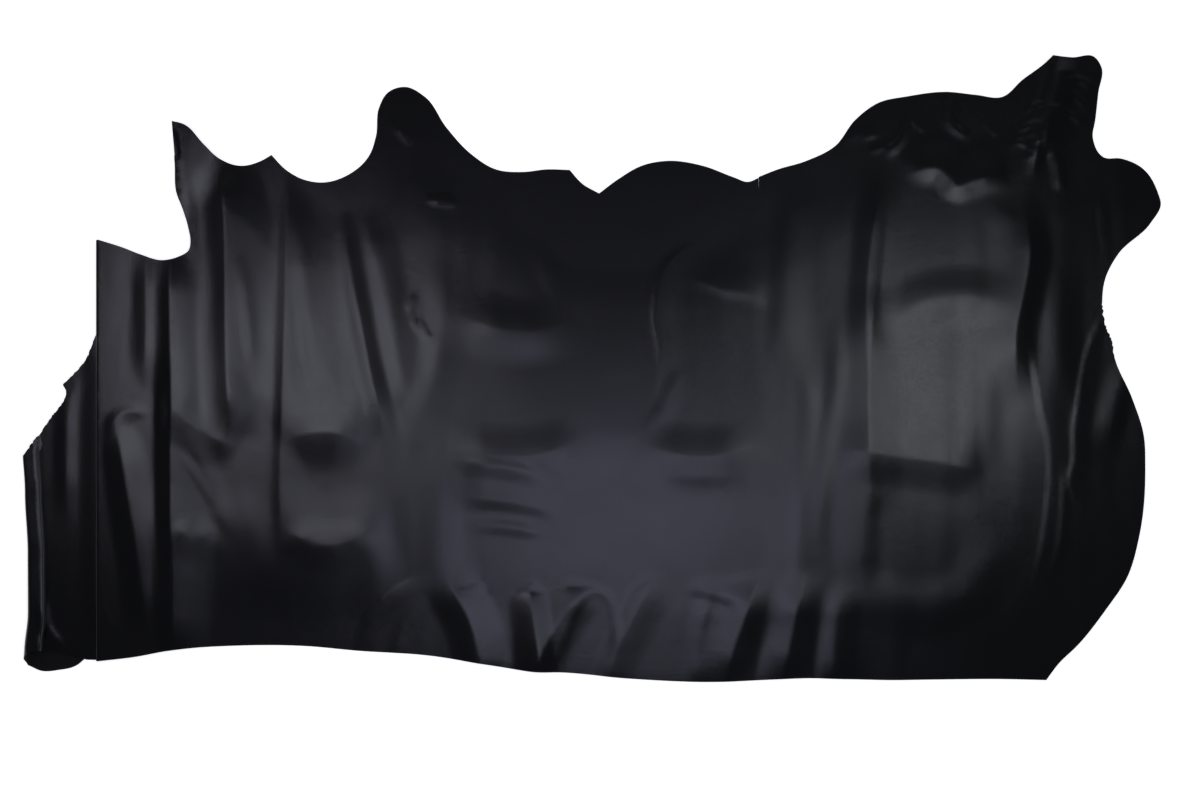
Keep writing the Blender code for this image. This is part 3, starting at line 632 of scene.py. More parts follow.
@dataclass
class Relief:
    """How far the front ply stands off the floor: its lift, folds, patches and slow swell."""
    base_lift: float = 3.0        # of the open leather between its folds
    rim_flat: float = 12.0        # the rim lies on the floor for this width
    rim_rise: float = 170.0       # and the leather rises to its base lift over this one
    contact_ease: float = 1.2     # how softly the leather meets the floor
    swell: float = 0.6            # the height of the slow swell
    swell_length: float = 150.0
    streak: float = 0.5           # the height of the streaks
    streak_width: float = 42.0
    streak_length: float = 420.0
    calm_along: float = 1220.0    # the middle of the side is calmer
    calm_width: float = 640.0
    calm_share: float = 0.8
    folds: tuple[Fold, ...] = (
        RUMP_FOLDS + HAUNCH_FOLDS + BELLY_FOLDS + LOIN_FOLDS + SHOULDER_FOLDS + NECK_FOLDS
        + BACKBONE_FOLDS + EDGE_WRINKLES
    )
    back_folds: tuple[Fold, ...] = (
        Fold("back ridge", 2.0, 32, 26,
             ((90, 284), (90, 364), (90, 484), (94, 554), (108, 594), (122, 648)), crest=0.7, fade=150),
        Fold("mouth flare", 2.4, 14, 18, ((46, 170), (50, 120), (66, 90), (92, 66)), crest=0.8, fade=36),
        Fold("mouth lip", 1.4, 10, 10, ((30, 74), (50, 80), (72, 74)), crest=0.7, fade=20),
        Fold("pleat rest", 2.2, 40, 40,
             ((152, 84), (152, 244), (152, 404), (152, 564), (152, 704)), crest=0.5),
    )
    patches: tuple[Patch, ...] = (
        Patch("loin panel", 1184, 290, 250, 60, 60, 150, 3.4),
        Patch("belly flat", 1200, 900, 130, 20, 20, 140, 3.4),
    )

    def front(self, along: np.ndarray, up: np.ndarray, to_rim: np.ndarray, opened: np.ndarray) -> np.ndarray:
        """The front ply's height off the floor.

        Args:
            along: each point's place along the side.
            up: each point's place up the side.
            to_rim: each point's distance from the cut edge.
            opened: 0 beside the pleat, rising to 1 in the open leather.

        Returns:
            The height at each point.
        """
        lift = self.base_lift * opened * smoothstep((to_rim - self.rim_flat) / self.rim_rise)
        for fold in self.folds:
            lift += self.ridge(fold, along, up)
        for patch in self.patches:
            lift -= self.sink(patch, along, up)
        lift = np.maximum(lift, 0.0)
        return lift * lift / (lift + self.contact_ease)

    def ridge(self, fold: Fold, along: np.ndarray, up: np.ndarray) -> np.ndarray:
        """One fold's height: a flank to either side of its path, dying out at both ends.

        Args:
            fold: the fold.
            along: each point's place along the side.
            up: each point's place up the side.

        Returns:
            Its height at each point, below zero for a crease.
        """
        LOG.debug("fold: %s", fold.name)
        height = np.zeros(len(along))
        line = smooth_path(fold.path)
        reach = max(fold.left, fold.right)
        low, high = line.min(axis=0) - reach, line.max(axis=0) + reach
        near = (along > low[0]) & (along < high[0]) & (up > low[1]) & (up < high[1])
        near_along, near_up = along[near], up[near]
        steps = np.diff(line, axis=0)
        lengths = np.hypot(*steps.T)
        travelled = np.concatenate(([0.0], np.cumsum(lengths)))
        nearest = np.full(len(near_along), np.inf)
        side = np.zeros(len(near_along))
        place = np.zeros(len(near_along))
        for (east, north), (run, rise), length, start in zip(line, steps, lengths, travelled):
            share = np.clip(((near_along - east) * run + (near_up - north) * rise) / length**2, 0, 1)
            off_along, off_up = near_along - east - share * run, near_up - north - share * rise
            distance = np.hypot(off_along, off_up)
            closer = distance < nearest
            nearest[closer] = distance[closer]
            side[closer] = (off_along * rise - off_up * run)[closer]
            place[closer] = (start + share * length)[closer]
        width = np.where(side > 0, fold.right, fold.left)
        bell = flank(nearest / width, fold.crest, fold.foot)
        ends = np.minimum(place, travelled[-1] - place)
        height[near] = fold.height * bell * smoothstep(ends / fold.fade)
        return height

    def sink(self, patch: Patch, along: np.ndarray, up: np.ndarray) -> np.ndarray:
        """How far a patch takes the leather down.

        Args:
            patch: the patch.
            along: each point's place along the side.
            up: each point's place up the side.

        Returns:
            Its depth at each point.
        """
        LOG.debug("patch: %s", patch.name)
        beside = np.abs(along - patch.along) - patch.half_along + patch.corner
        above = np.abs(up - patch.up) - patch.half_up + patch.corner
        outside = np.hypot(np.maximum(beside, 0), np.maximum(above, 0)) - patch.corner
        outside += np.minimum(np.maximum(beside, above), 0)
        return patch.depth * (1 - smoothstep(outside / patch.bank))

    def rolling(self, along: np.ndarray, up: np.ndarray) -> np.ndarray:
        """The slow swell of leather that has lain rolled, with streaks up it away from its middle.

        Args:
            along: each point's place along the side.
            up: each point's place up the side.

        Returns:
            The swell's height at each point, above or below zero.
        """
        slow = self.waves(along / self.swell_length, up / self.swell_length)
        streaks = self.waves(along / self.streak_width, up / self.streak_length)
        calm = 1.0 - smoothstep(np.abs(along - self.calm_along) / self.calm_width)
        return self.swell * slow + self.streak * (1.0 - self.calm_share * calm) * streaks

    def waves(self, east: np.ndarray, north: np.ndarray) -> np.ndarray:
        """Smooth noise between -1 and 1 at each place."""
        return np.array([noise.noise(Vector((run, rise, 0.0))) for run, rise in zip(east, north)])


@dataclass
class Chart:
    """The flat chart: a strip for each ply and bend, side by side, read by a distance across and one up."""
    pleat: Pleat
    margin: Margin
    relief: Relief
    thickness: float
    bend: float = 80.0            # the chart's width for each of the pleat's bends
    strip: float = 18.0           # for the strip between them
    back_width: float = 300.0     # for the back ply, which is drawn out so that its mesh is finer
    roll_width: float = 110.0     # for the rolled margin
    spread: float = 330.0         # how far from the pleat the front ply has come down to the floor
    crest_clear: float = 24.0     # the front ply's folds start over this width beside the pleat
    pleat_clear: float = 0.05     # the back ply lies flat over this share of its width beside the pleat
    margin_clear: float = 0.10    # and has no ridge over this one beside the rolled margin

    @property
    def middle(self) -> float:
        """Where the strip between the bends begins."""
        return -self.bend

    @property
    def lower(self) -> float:
        """Where the pleat's second bend begins."""
        return self.middle - self.strip

    @property
    def back(self) -> float:
        """Where the back ply begins."""
        return self.lower - self.bend

    @property
    def roll(self) -> float:
        """Where the rolled margin begins."""
        return self.back - self.back_width

    @property
    def under(self) -> float:
        """Where the margin's under ply begins."""
        return self.roll - self.roll_width

    def across(self, knot: Knot) -> float:
        """The chart's distance across for a knot of the cut edge.

        Args:
            knot: the knot, on any ply or bend.

        Returns:
            The distance across.
        """
        section = self.pleat.at(np.array(knot.up))
        centre, _ = self.margin.at(np.array(knot.up))
        if knot.ply is Ply.FRONT:
            return knot.along - section.start
        if knot.ply is Ply.MIDDLE:
            return self.middle - self.strip * knot.along
        if knot.ply is Ply.BACK:
            return float(self.back_across(knot.along, centre, section.back_end))
        if knot.ply is Ply.ROLL:
            return self.roll - self.roll_width * knot.along
        return self.under - (knot.along - float(centre))

    def back_across(self, along: np.ndarray, centre: np.ndarray, back_end: np.ndarray) -> np.ndarray:
        """The chart's distance across for places on the back ply.

        Args:
            along: the places along the side.
            centre: where the rolled margin begins, at the same heights.
            back_end: where the pleat's second bend ends.

        Returns:
            The distances across.
        """
        return self.back - self.back_width * (back_end - along) / (back_end - centre)

    def lay_down(self, flat: np.ndarray, to_rim: np.ndarray) -> np.ndarray:
        """Places points of the chart on the lying side.

        Args:
            flat: the points in the chart, one to a row.
            to_rim: their distances from the cut edge.

        Returns:
            Rows of along, up and height, in millimetres.
        """
        across, up = flat.T
        section = self.pleat.at(up)
        centre, radius = self.margin.at(up)
        ground = self.thickness / 2
        along = section.start + across
        opened = smoothstep(across / self.spread)
        height = ground + section.drop * (1 - opened)
        own = smoothstep(across / self.crest_clear)
        relief = self.relief.front(along, up, to_rim, opened) + self.relief.rolling(along, up)
        height += np.where(across >= 0, own * np.maximum(relief, 0.0), 0.0)

        def put(mask: np.ndarray, run: np.ndarray, level: np.ndarray) -> None:
            """Sets the points of one strip."""
            along[mask] = run[mask]
            height[mask] = level[mask]

        run, drop = section.upper_bend(np.clip(-across / self.bend, 0, 1))
        put(across < 0, section.start + run, ground + section.drop - drop)
        run, drop = section.flat_strip(np.clip((self.middle - across) / self.strip, 0, 1))
        put(across < self.middle, section.start + run, ground + section.drop - drop)
        run, drop = section.lower_bend(np.clip((self.lower - across) / self.bend, 0, 1))
        put(across < self.lower, section.start + run, ground + section.drop - drop)
        share = np.clip((self.back - across) / self.back_width, 0, 1)
        run = section.back_end - (section.back_end - centre) * share
        put(across < self.back, run, ground + self.back_height(run, up, share))
        angle = math.pi * np.clip((self.roll - across) / self.roll_width, 0, 1)
        put(across < self.roll, centre - radius * np.sin(angle), ground + radius * (1 + np.cos(angle)))
        put(across < self.under, centre + self.under - across, np.full(len(up), ground))
        return np.column_stack((along, up, height))

    def back_height(self, along: np.ndarray, up: np.ndarray, share: np.ndarray) -> np.ndarray:
        """How far the back ply stands up, with its own ridges.

        Args:
            along: each point's place along the side.
            up: each point's place up the side.
            share: 0 at the pleat, rising to 1 at the rolled margin.

        Returns:
            The height at each point.
        """
        ridges = sum(self.relief.ridge(fold, along, up) for fold in self.relief.back_folds)
        ridges *= smoothstep((1 - share) / self.margin_clear)
        return (self.margin.lift(along, up) + ridges) * smoothstep(share / self.pleat_clear)


class PointBed:
    """Points of the chart, kept apart from each other by a grid of cells."""

    def __init__(self, cell: float) -> None:
        """Starts an empty bed.

        Args:
            cell: the width of its cells, which is the largest clearance.
        """
        self.cell = cell
        self.points: list[Point] = []
        self.cells: dict[tuple[int, int], list[Point]] = {}

    def add(self, point: Point, clearance: float) -> None:
        """Adds a point unless another lies too near.

        Args:
            point: the point, in the chart.
            clearance: how far it keeps from the others.
        """
        column, row = math.floor(point[0] / self.cell), math.floor(point[1] / self.cell)
        for near_column in (column - 1, column, column + 1):
            for near_row in (row - 1, row, row + 1):
                for other in self.cells.get((near_column, near_row), ()):
                    if math.dist(point, other) < clearance:
                        return
        self.cells.setdefault((column, row), []).append(point)
        self.points.append(point)


@dataclass
class Mesher:
    """Fills the cut edge with points, finer where the leather is creased, and joins them into triangles."""
    chart: Chart
    edge: CutEdge
    pitch: float = 9.0
    crowding: float = 0.62        # lattice points keep this share of their pitch from others
    fold_crowding: float = 0.5    # points of a fold's own line this one
    rim_crowding: float = 0.45    # and this one from the cut edge
    fold_steps: int = 40          # each span of a fold's path offers so many points
    margin_pitch: float = 5.0     # points of the slope by the rolled margin are this far apart
    rail: float = 5.0             # points also lie this far to either side of a sharp crest,
    rail_least: float = 1.5       # one whose height times its crest measure is more than this
    rim_sample: float = 2.0       # the cut edge is sampled this closely to measure distances from it
    zones: tuple[FineZone, ...] = (
        FineZone(1690, 980, 2180, 1260, 5.5),
        FineZone(690, 0, 1700, 215, 7.0),
        FineZone(870, 250, 1110, 470, 6.0),
        FineZone(1240, 330, 1480, 470, 7.0),
        FineZone(2000, 140, 2180, 780, 6.0),
        FineZone(150, 60, 320, 840, 7.0),
    )

    def triangles(self) -> tuple[np.ndarray, list[list[int]]]:
        """Meshes the chart and lays it down.

        Returns:
            The laid points in millimetres, and the triangles by their points' numbers.
        """
        rim = self.edge.line(self.chart)
        tree = self.rim_tree(rim)
        bed = PointBed(self.pitch)
        for point in rim:
            bed.add(tuple(point), 0.0)
        self.strew(bed, self.margin_points(), self.margin_pitch, rim, tree)
        self.strew(bed, self.fold_points(), self.pitch * self.fold_crowding, rim, tree)
        for zone in self.zones:
            self.strew(bed, self.lattice(zone), zone.pitch * self.crowding, rim, tree)
        low, high = rim.min(axis=0), rim.max(axis=0)
        start = self.chart.pleat.start
        whole = FineZone(low[0] + start, 0, high[0] + start, high[1], self.pitch)
        self.strew(bed, self.lattice(whole), self.pitch * self.crowding, rim, tree)
        points = [Vector(point) for point in bed.points]
        border = [list(range(len(rim)))]
        _, _, faces, sources = delaunay_2d_cdt(points, [], border, 1, TINY)[:4]
        flat = np.array([bed.points[source[0]] for source in sources])
        to_rim = np.array([tree.find((east, north, 0.0))[2] for east, north in flat])
        return self.chart.lay_down(flat, to_rim), faces

    def rim_tree(self, rim: np.ndarray) -> KDTree:
        """A tree of close samples along the cut edge, for distances from it.

        Args:
            rim: the cut edge's line in the chart.

        Returns:
            The tree, ready to be searched.
        """
        samples = []
        for start, end in zip(rim, np.roll(rim, -1, axis=0)):
            pieces = max(math.ceil(math.dist(start, end) / self.rim_sample), 1)
            samples.extend(start + (end - start) * step / pieces for step in range(pieces))
        tree = KDTree(len(samples))
        for index, sample in enumerate(samples):
            tree.insert((sample[0], sample[1], 0.0), index)
        tree.balance()
        return tree

    def lattice(self, zone: FineZone) -> np.ndarray:
        """A lattice of equal triangles over a zone.

        Args:
            zone: the zone, by places on the side.

        Returns:
            The lattice's points in the chart, one to a row.
        """
        row_height = zone.pitch * math.sqrt(3) / 2
        start = self.chart.pleat.start
        columns = np.arange(zone.west - start, zone.east - start + zone.pitch, zone.pitch)
        rows = np.arange(zone.south, zone.north + row_height, row_height)
        east, north = np.meshgrid(columns, rows)
        east[1::2] += zone.pitch / 2
        return np.column_stack((east.ravel(), north.ravel()))

    def fold_points(self) -> np.ndarray:
        """Points along each fold's crest, and beside the sharp ones, so that the mesh follows them.

        Returns:
            Those points that lie clear of the pleat, in the chart, one to a row.
        """
        folds = self.chart.relief.folds
        lines = [smooth_path(fold.path, self.fold_steps) for fold in folds]
        sharp = [line for line, fold in zip(lines, folds) if fold.height * fold.crest > self.rail_least]
        rails = [line + side * self.rail * sideways(line) for line in sharp for side in (-1, 1)]
        points = np.vstack(lines + rails)
        points[:, 0] -= self.chart.pleat.start
        return points[points[:, 0] > self.pitch]

    def margin_points(self) -> np.ndarray:
        """Points along the top, middle and foot of the slope beside the rolled margin.

        Returns:
            The points in the chart, one to a row.
        """
        chart = self.chart
        up = np.arange(chart.margin.rows[0].up, chart.margin.rows[-1].up, self.margin_pitch)
        centre, _ = chart.margin.at(up)
        back_end = chart.pleat.at(up).back_end
        lines = []
        for share in (0.0, 0.5, 1.0):
            along = centre + chart.margin.shoulder + chart.margin.slope * share
            lines.append(np.column_stack((chart.back_across(along, centre, back_end), up)))
        return np.vstack(lines)

    def strew(self, bed: PointBed, points: np.ndarray, clearance: float,
              rim: np.ndarray, tree: KDTree) -> None:
        """Adds the points that lie inside the cut edge and clear of it and of each other.

        Args:
            bed: the points so far.
            points: the points to add, one to a row.
            clearance: how far apart they are kept.
            rim: the cut edge's line in the chart.
            tree: close samples of that line.
        """
        margin = self.pitch * self.rim_crowding
        for east, north in points[inside(points, rim)]:
            if tree.find((east, north, 0.0))[2] > margin:
                bed.add((east, north), clearance)


def sideways(line: np.ndarray) -> np.ndarray:
    """The direction across a line at each of its points, of unit length."""
    run, rise = np.gradient(line, axis=0).T
    return np.column_stack((rise, -run)) / np.hypot(run, rise)[:, None]


def inside(points: np.ndarray, rim: np.ndarray) -> np.ndarray:
    """Finds the points inside a closed line.

    Args:
        points: the points, one to a row.
        rim: the line's points, one to a row.

    Returns:
        For each point, whether it lies inside.
    """
    hits = np.zeros(len(points), bool)
    for (x0, y0), (x1, y1) in zip(rim, np.roll(rim, -1, axis=0)):
        if y0 == y1:
            continue
        spans = np.nonzero((y0 > points[:, 1]) != (y1 > points[:, 1]))[0]
        crossing = x0 + (points[spans, 1] - y0) * (x1 - x0) / (y1 - y0)
        hits[spans] ^= points[spans, 0] < crossing
    return hits


class Nodes:
    """A short hand for building a node tree."""

    def __init__(self, tree: bpy.types.NodeTree) -> None:
        """Keeps the tree and starts placing nodes at its left."""
        self.tree = tree

    def add(self, kind: str, values: dict[str, object] | None = None, **settings: object) -> bpy.types.Node:
        """Adds a node.

        Args:
            kind: the node's type name.
            values: the values of its unlinked inputs, by name.
            settings: its other properties.

        Returns:
            The node.
        """
        node = self.tree.nodes.new(kind)
        for name, value in settings.items():
            setattr(node, name, value)
        for name, value in (values or {}).items():
            node.inputs[name].default_value = value
        return node

    def link(self, source: Socket, target: Socket) -> None:
        """Joins an output to an input."""
        self.tree.links.new(source, target)

    def ramp(self, source: Socket, low: float, high: float, start: float, end: float) -> Socket:
        """Maps a value from one range to another, held at both ends.

        Args:
            source: the value.
            low: where the first range begins.
            high: where it ends.
            start: what the value becomes at its beginning.
            end: what it becomes at its end.

        Returns:
            The mapped value.
        """
        ends = {"From Min": low, "From Max": high, "To Min": start, "To Max": end}
        node = self.add("ShaderNodeMapRange", ends)
        self.link(source, node.inputs["Value"])
        return node.outputs["Result"]

    def sum(self, first: Socket, second: Socket, weight: float) -> Socket:
        """The first value plus a weight times the second.

        Args:
            first: the value that is added to.
            second: the value that is weighted.
            weight: what it is multiplied by.

        Returns:
            The sum.
        """
        node = self.add("ShaderNodeMath", operation="MULTIPLY_ADD")
        self.link(second, node.inputs[0])
        node.inputs[1].default_value = weight
        self.link(first, node.inputs[2])
        return node.outputs[0]


@dataclass(frozen=True)
class GrainGroup:
    """A node group for the grain of finished leather: creases, cells, dimples, crinkles and slow clouding."""
    name: str = "leather grain"
    hem: tuple[float, float] = (-0.49, -0.44)     # crinkles fade out between these metres from the middle
    drawn_out: float = 0.22       # they are stretched along the backbone edge by one over this
    cell_rounding: float = 0.25   # cells are level beyond this share of their size from their edges
    cell_share: float = 0.35      # how much each part adds to the height of the creases
    dimple_share: float = 1.1
    crinkle_share: float = 0.9

    def tree(self) -> bpy.types.NodeTree:
        """Builds the group once, and finds it again after that.

        Returns:
            The group's node tree.
        """
        known = bpy.data.node_groups.get(self.name)
        if known:
            return known
        tree = bpy.data.node_groups.new(self.name, "ShaderNodeTree")
        face = tree.interface
        face.new_socket("Cell Density", in_out="INPUT", socket_type="NodeSocketFloat").default_value = 900.0
        face.new_socket("Crease Density", in_out="INPUT", socket_type="NodeSocketFloat").default_value = 160.0
        face.new_socket("Height", in_out="OUTPUT", socket_type="NodeSocketFloat")
        face.new_socket("Cloud", in_out="OUTPUT", socket_type="NodeSocketFloat")
        nodes = Nodes(tree)
        source = nodes.add("NodeGroupInput")
        target = nodes.add("NodeGroupOutput")
        place = nodes.add("ShaderNodeTexCoord").outputs["Object"]
        cells = nodes.add("ShaderNodeTexVoronoi", feature="DISTANCE_TO_EDGE")
        creases = nodes.add("ShaderNodeTexNoise", {"Detail": 5.0, "Roughness": 0.62})
        cloud = nodes.add("ShaderNodeTexNoise", {"Scale": 9.0, "Detail": 4.0, "Roughness": 0.55})
        dimples = nodes.add("ShaderNodeTexNoise", {"Scale": 45.0, "Detail": 2.0, "Roughness": 0.5})
        for texture in (cells, creases, cloud, dimples):
            nodes.link(place, texture.inputs["Vector"])
        nodes.link(source.outputs["Cell Density"], cells.inputs["Scale"])
        nodes.link(source.outputs["Crease Density"], creases.inputs["Scale"])
        rounded = nodes.ramp(cells.outputs["Distance"], 0.0, self.cell_rounding, 0.0, 1.0)
        fine = nodes.sum(creases.outputs["Fac"], rounded, self.cell_share)
        open_grain = nodes.sum(fine, dimples.outputs["Fac"], self.dimple_share)
        height = nodes.sum(open_grain, self.hem_crinkles(nodes, place), self.crinkle_share)
        nodes.link(height, target.inputs["Height"])
        nodes.link(cloud.outputs["Fac"], target.inputs["Cloud"])
        return tree

    def hem_crinkles(self, nodes: Nodes, place: Socket) -> Socket:
        """Fine crinkles that run along the backbone edge, where the leather was pulled.

        Args:
            nodes: the group's nodes.
            place: the point on the piece.

        Returns:
            Their height, which is nothing away from that edge.
        """
        drawn = nodes.add("ShaderNodeVectorMath", operation="MULTIPLY")
        nodes.link(place, drawn.inputs[0])
        drawn.inputs[1].default_value = (self.drawn_out, 1.0, 1.0)
        crinkles = nodes.add("ShaderNodeTexNoise", {"Scale": 120.0, "Detail": 3.0, "Roughness": 0.55})
        nodes.link(drawn.outputs["Vector"], crinkles.inputs["Vector"])
        split = nodes.add("ShaderNodeSeparateXYZ")
        nodes.link(place, split.inputs["Vector"])
        near = nodes.ramp(split.outputs["Y"], *self.hem, 1.0, 0.0)
        held = nodes.add("ShaderNodeMath", operation="MULTIPLY")
        nodes.link(near, held.inputs[0])
        nodes.link(crinkles.outputs["Fac"], held.inputs[1])
        return held.outputs[0]


@dataclass(frozen=True)
class GrainFinish:
    """The dyed and finished grain face: near black, with a soft gloss."""
    name: str = "black grain leather"
    colour: Colour = (0.0038, 0.0041, 0.0056, 1.0)
    pale_colour: Colour = (0.0062, 0.0064, 0.0080, 1.0)
    roughness_low: float = 0.17
    roughness_high: float = 0.21
    specular: float = 0.5
    grain_depth: float = 0.00009
    cell_density: float = 700.0
    crease_density: float = 150.0
    cloud: tuple[float, float] = (0.3, 0.7)       # the clouding turns the tone and gloss over this range

    def material(self) -> bpy.types.Material:
        """Builds the material.

        Returns:
            The material, ready to be put on the mesh.
        """
        leather = bpy.data.materials.new(self.name)
        leather.use_nodes = True
        nodes = Nodes(leather.node_tree)
        shader = leather.node_tree.nodes["Principled BSDF"]
        shader.inputs["Specular IOR Level"].default_value = self.specular
        grain = nodes.add("ShaderNodeGroup", node_tree=GrainGroup().tree())
        grain.inputs["Cell Density"].default_value = self.cell_density
        grain.inputs["Crease Density"].default_value = self.crease_density
        tint = nodes.add("ShaderNodeMix", data_type="RGBA")
        tint.inputs["A"].default_value = self.colour
        tint.inputs["B"].default_value = self.pale_colour
        nodes.link(nodes.ramp(grain.outputs["Cloud"], *self.cloud, 0.0, 1.0), tint.inputs["Factor"])
        nodes.link(tint.outputs["Result"], shader.inputs["Base Color"])
        gloss = nodes.ramp(grain.outputs["Cloud"], *self.cloud, self.roughness_high, self.roughness_low)
        nodes.link(gloss, shader.inputs["Roughness"])
        bump = nodes.add("ShaderNodeBump", {"Strength": 1.0, "Distance": self.grain_depth})
        nodes.link(grain.outputs["Height"], bump.inputs["Height"])
        nodes.link(bump.outputs["Normal"], shader.inputs["Normal"])
        return leather


@dataclass(frozen=True)
class FibreGroup:
    """A node group for bare fibre, as on the flesh side and in the cut edge."""
    name: str = "leather fibre"
    fibre_share: float = 0.3      # how much of the fibres' own height the nap takes up

    def tree(self) -> bpy.types.NodeTree:
        """Builds the group once, and finds it again after that.

        Returns:
            The group's node tree.
        """
        known = bpy.data.node_groups.get(self.name)
        if known:
            return known
        tree = bpy.data.node_groups.new(self.name, "ShaderNodeTree")
        face = tree.interface
        face.new_socket("Density", in_out="INPUT", socket_type="NodeSocketFloat").default_value = 400.0
        face.new_socket("Height", in_out="OUTPUT", socket_type="NodeSocketFloat")
        face.new_socket("Nap", in_out="OUTPUT", socket_type="NodeSocketFloat")
        nodes = Nodes(tree)
        source = nodes.add("NodeGroupInput")
        target = nodes.add("NodeGroupOutput")
        place = nodes.add("ShaderNodeTexCoord").outputs["Object"]
        fibre = nodes.add("ShaderNodeTexNoise", {"Detail": 6.0, "Roughness": 0.7, "Distortion": 1.2})
        nap = nodes.add("ShaderNodeTexNoise", {"Scale": 22.0, "Detail": 3.0, "Distortion": 0.6})
        for texture in (fibre, nap):
            nodes.link(place, texture.inputs["Vector"])
        nodes.link(source.outputs["Density"], fibre.inputs["Scale"])
        nodes.link(fibre.outputs["Fac"], target.inputs["Height"])
        shaded = nodes.sum(nap.outputs["Fac"], fibre.outputs["Fac"], self.fibre_share)
        nodes.link(shaded, target.inputs["Nap"])
        return tree


@dataclass(frozen=True)
class FibreFinish:
    """A bare fibrous face: matt, dyed through, with a short nap; on the flesh side its colours are also
    darkened as painted shade.
    """
    name: str
    dark: Colour
    pale: Colour
    density: float
    depth: float
    roughness: float = 0.92
    specular: float = 0.25
    sheen: float = 0.15
    nap: tuple[float, float] = (0.4, 0.9)         # the nap turns from dark to pale over this range

    def material(self) -> bpy.types.Material:
        """Builds the material.

        Returns:
            The material, ready to be put on the mesh.
        """
        suede = bpy.data.materials.new(self.name)
        suede.use_nodes = True
        nodes = Nodes(suede.node_tree)
        shader = suede.node_tree.nodes["Principled BSDF"]
        shader.inputs["Roughness"].default_value = self.roughness
        shader.inputs["Specular IOR Level"].default_value = self.specular
        shader.inputs["Sheen Weight"].default_value = self.sheen
        fibre = nodes.add("ShaderNodeGroup", node_tree=FibreGroup().tree())
        fibre.inputs["Density"].default_value = self.density
        tint = nodes.add("ShaderNodeMix", data_type="RGBA")
        tint.inputs["A"].default_value = self.dark
        tint.inputs["B"].default_value = self.pale
        nodes.link(nodes.ramp(fibre.outputs["Nap"], *self.nap, 0.0, 1.0), tint.inputs["Factor"])
        nodes.link(tint.outputs["Result"], shader.inputs["Base Color"])
        bump = nodes.add("ShaderNodeBump", {"Strength": 1.0, "Distance": self.depth})
        nodes.link(fibre.outputs["Height"], bump.inputs["Height"])
        nodes.link(bump.outputs["Normal"], shader.inputs["Normal"])
        return suede


@dataclass
class Hide:
    """The side of leather: one sheet with its grain face, flesh face and cut edge."""
    name: str = "leather_side"
    node: str = "hide"
    thickness: float = 2.0
    crisp: float = math.radians(50.0)     # edges sharper than this are shaded as edges
    grain: GrainFinish = GrainFinish()
    # The flesh side's near-black dye is real, but its dark and pale colours are darkened further as painted
    # shade, for the shaded opening of the rolled margin where this face shows.
    flesh: FibreFinish = FibreFinish(
        "black suede flesh side with painted shade", (0.0030, 0.0030, 0.0038, 1.0), (0.0085, 0.0083, 0.0092, 1.0), 420.0, 0.0004)
    rim: FibreFinish = FibreFinish(
        "dyed cut edge", (0.008, 0.008, 0.009, 1.0), (0.024, 0.021, 0.020, 1.0), 900.0, 0.0003)
    centre: np.ndarray = field(default_factory=lambda: np.zeros(2))   # of the outline, once it is built

    def build(self) -> bpy.types.Object:
        """Builds the sheet where its node lies.

        Returns:
            The visible piece, riding on the frame in place of its node.
        """
        pleat, margin = Pleat(thickness=self.thickness), Margin(thickness=self.thickness)
        chart = Chart(pleat, margin, Relief(), self.thickness)
        laid, faces = Mesher(chart, CutEdge()).triangles()
        low, high = laid.min(axis=0), laid.max(axis=0)
        low[0] -= self.thickness / 2      # the rolled margin's outer face
        self.centre = (low[:2] + high[:2]) / 2
        corner, far_corner = (np.array(point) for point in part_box(self.node))
        laid[:, :2] -= self.centre
        laid *= MM
        laid[:, :2] += ((corner + far_corner) / 2)[:2]
        sheet = bpy.data.meshes.new(self.name)
        sheet.from_pydata([Vector(point) for point in laid], [], faces)
        sheet.validate()
        piece = bpy.data.objects.new(self.name, self.thicken(sheet))
        bpy.context.scene.collection.objects.link(piece)
        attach(piece, "root")
        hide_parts(self.node)
        return piece

    def thicken(self, sheet: bpy.types.Mesh) -> bpy.types.Mesh:
        """Gives the middle surface its thickness, with each face of the leather in its own material.

        Args:
            sheet: the middle surface.

        Returns:
            The closed mesh.
        """
        for finish in (self.grain, self.flesh, self.rim):
            sheet.materials.append(finish.material())
        draft = bpy.data.objects.new("draft", sheet)
        bpy.context.scene.collection.objects.link(draft)
        skin = draft.modifiers.new("thickness", "SOLIDIFY")
        skin.thickness = self.thickness * MM
        skin.offset = 0.0
        skin.material_offset = Face.FLESH.value
        skin.material_offset_rim = Face.EDGE.value
        solid = bpy.data.meshes.new_from_object(draft.evaluated_get(bpy.context.evaluated_depsgraph_get()))
        bpy.data.objects.remove(draft)
        solid.name = self.name
        solid.shade_smooth()
        solid.set_sharp_from_angle(angle=self.crisp)
        return solid


class Tint(Enum):
    """The tints of the soft boxes' light."""
    VIOLET = (0.94, 0.93, 1.12)
    PALE_VIOLET = (0.94, 0.93, 1.14)
    BLUE = (0.9, 0.92, 1.22)
    PALE_BLUE = (0.9, 0.93, 1.1)
    GREEN = (0.93, 1.0, 1.07)
    WHITE = (0.95, 0.97, 1.08)


@dataclass(frozen=True)
class Lamp:
    """A soft box overhead, set by the patch of the side or floor that mirrors it to the camera.

    The patch's sides are in the millimetres of the lying side.
    """
    name: str
    west: float
    south: float
    east: float
    north: float
    radiance: float
    tint: Tint


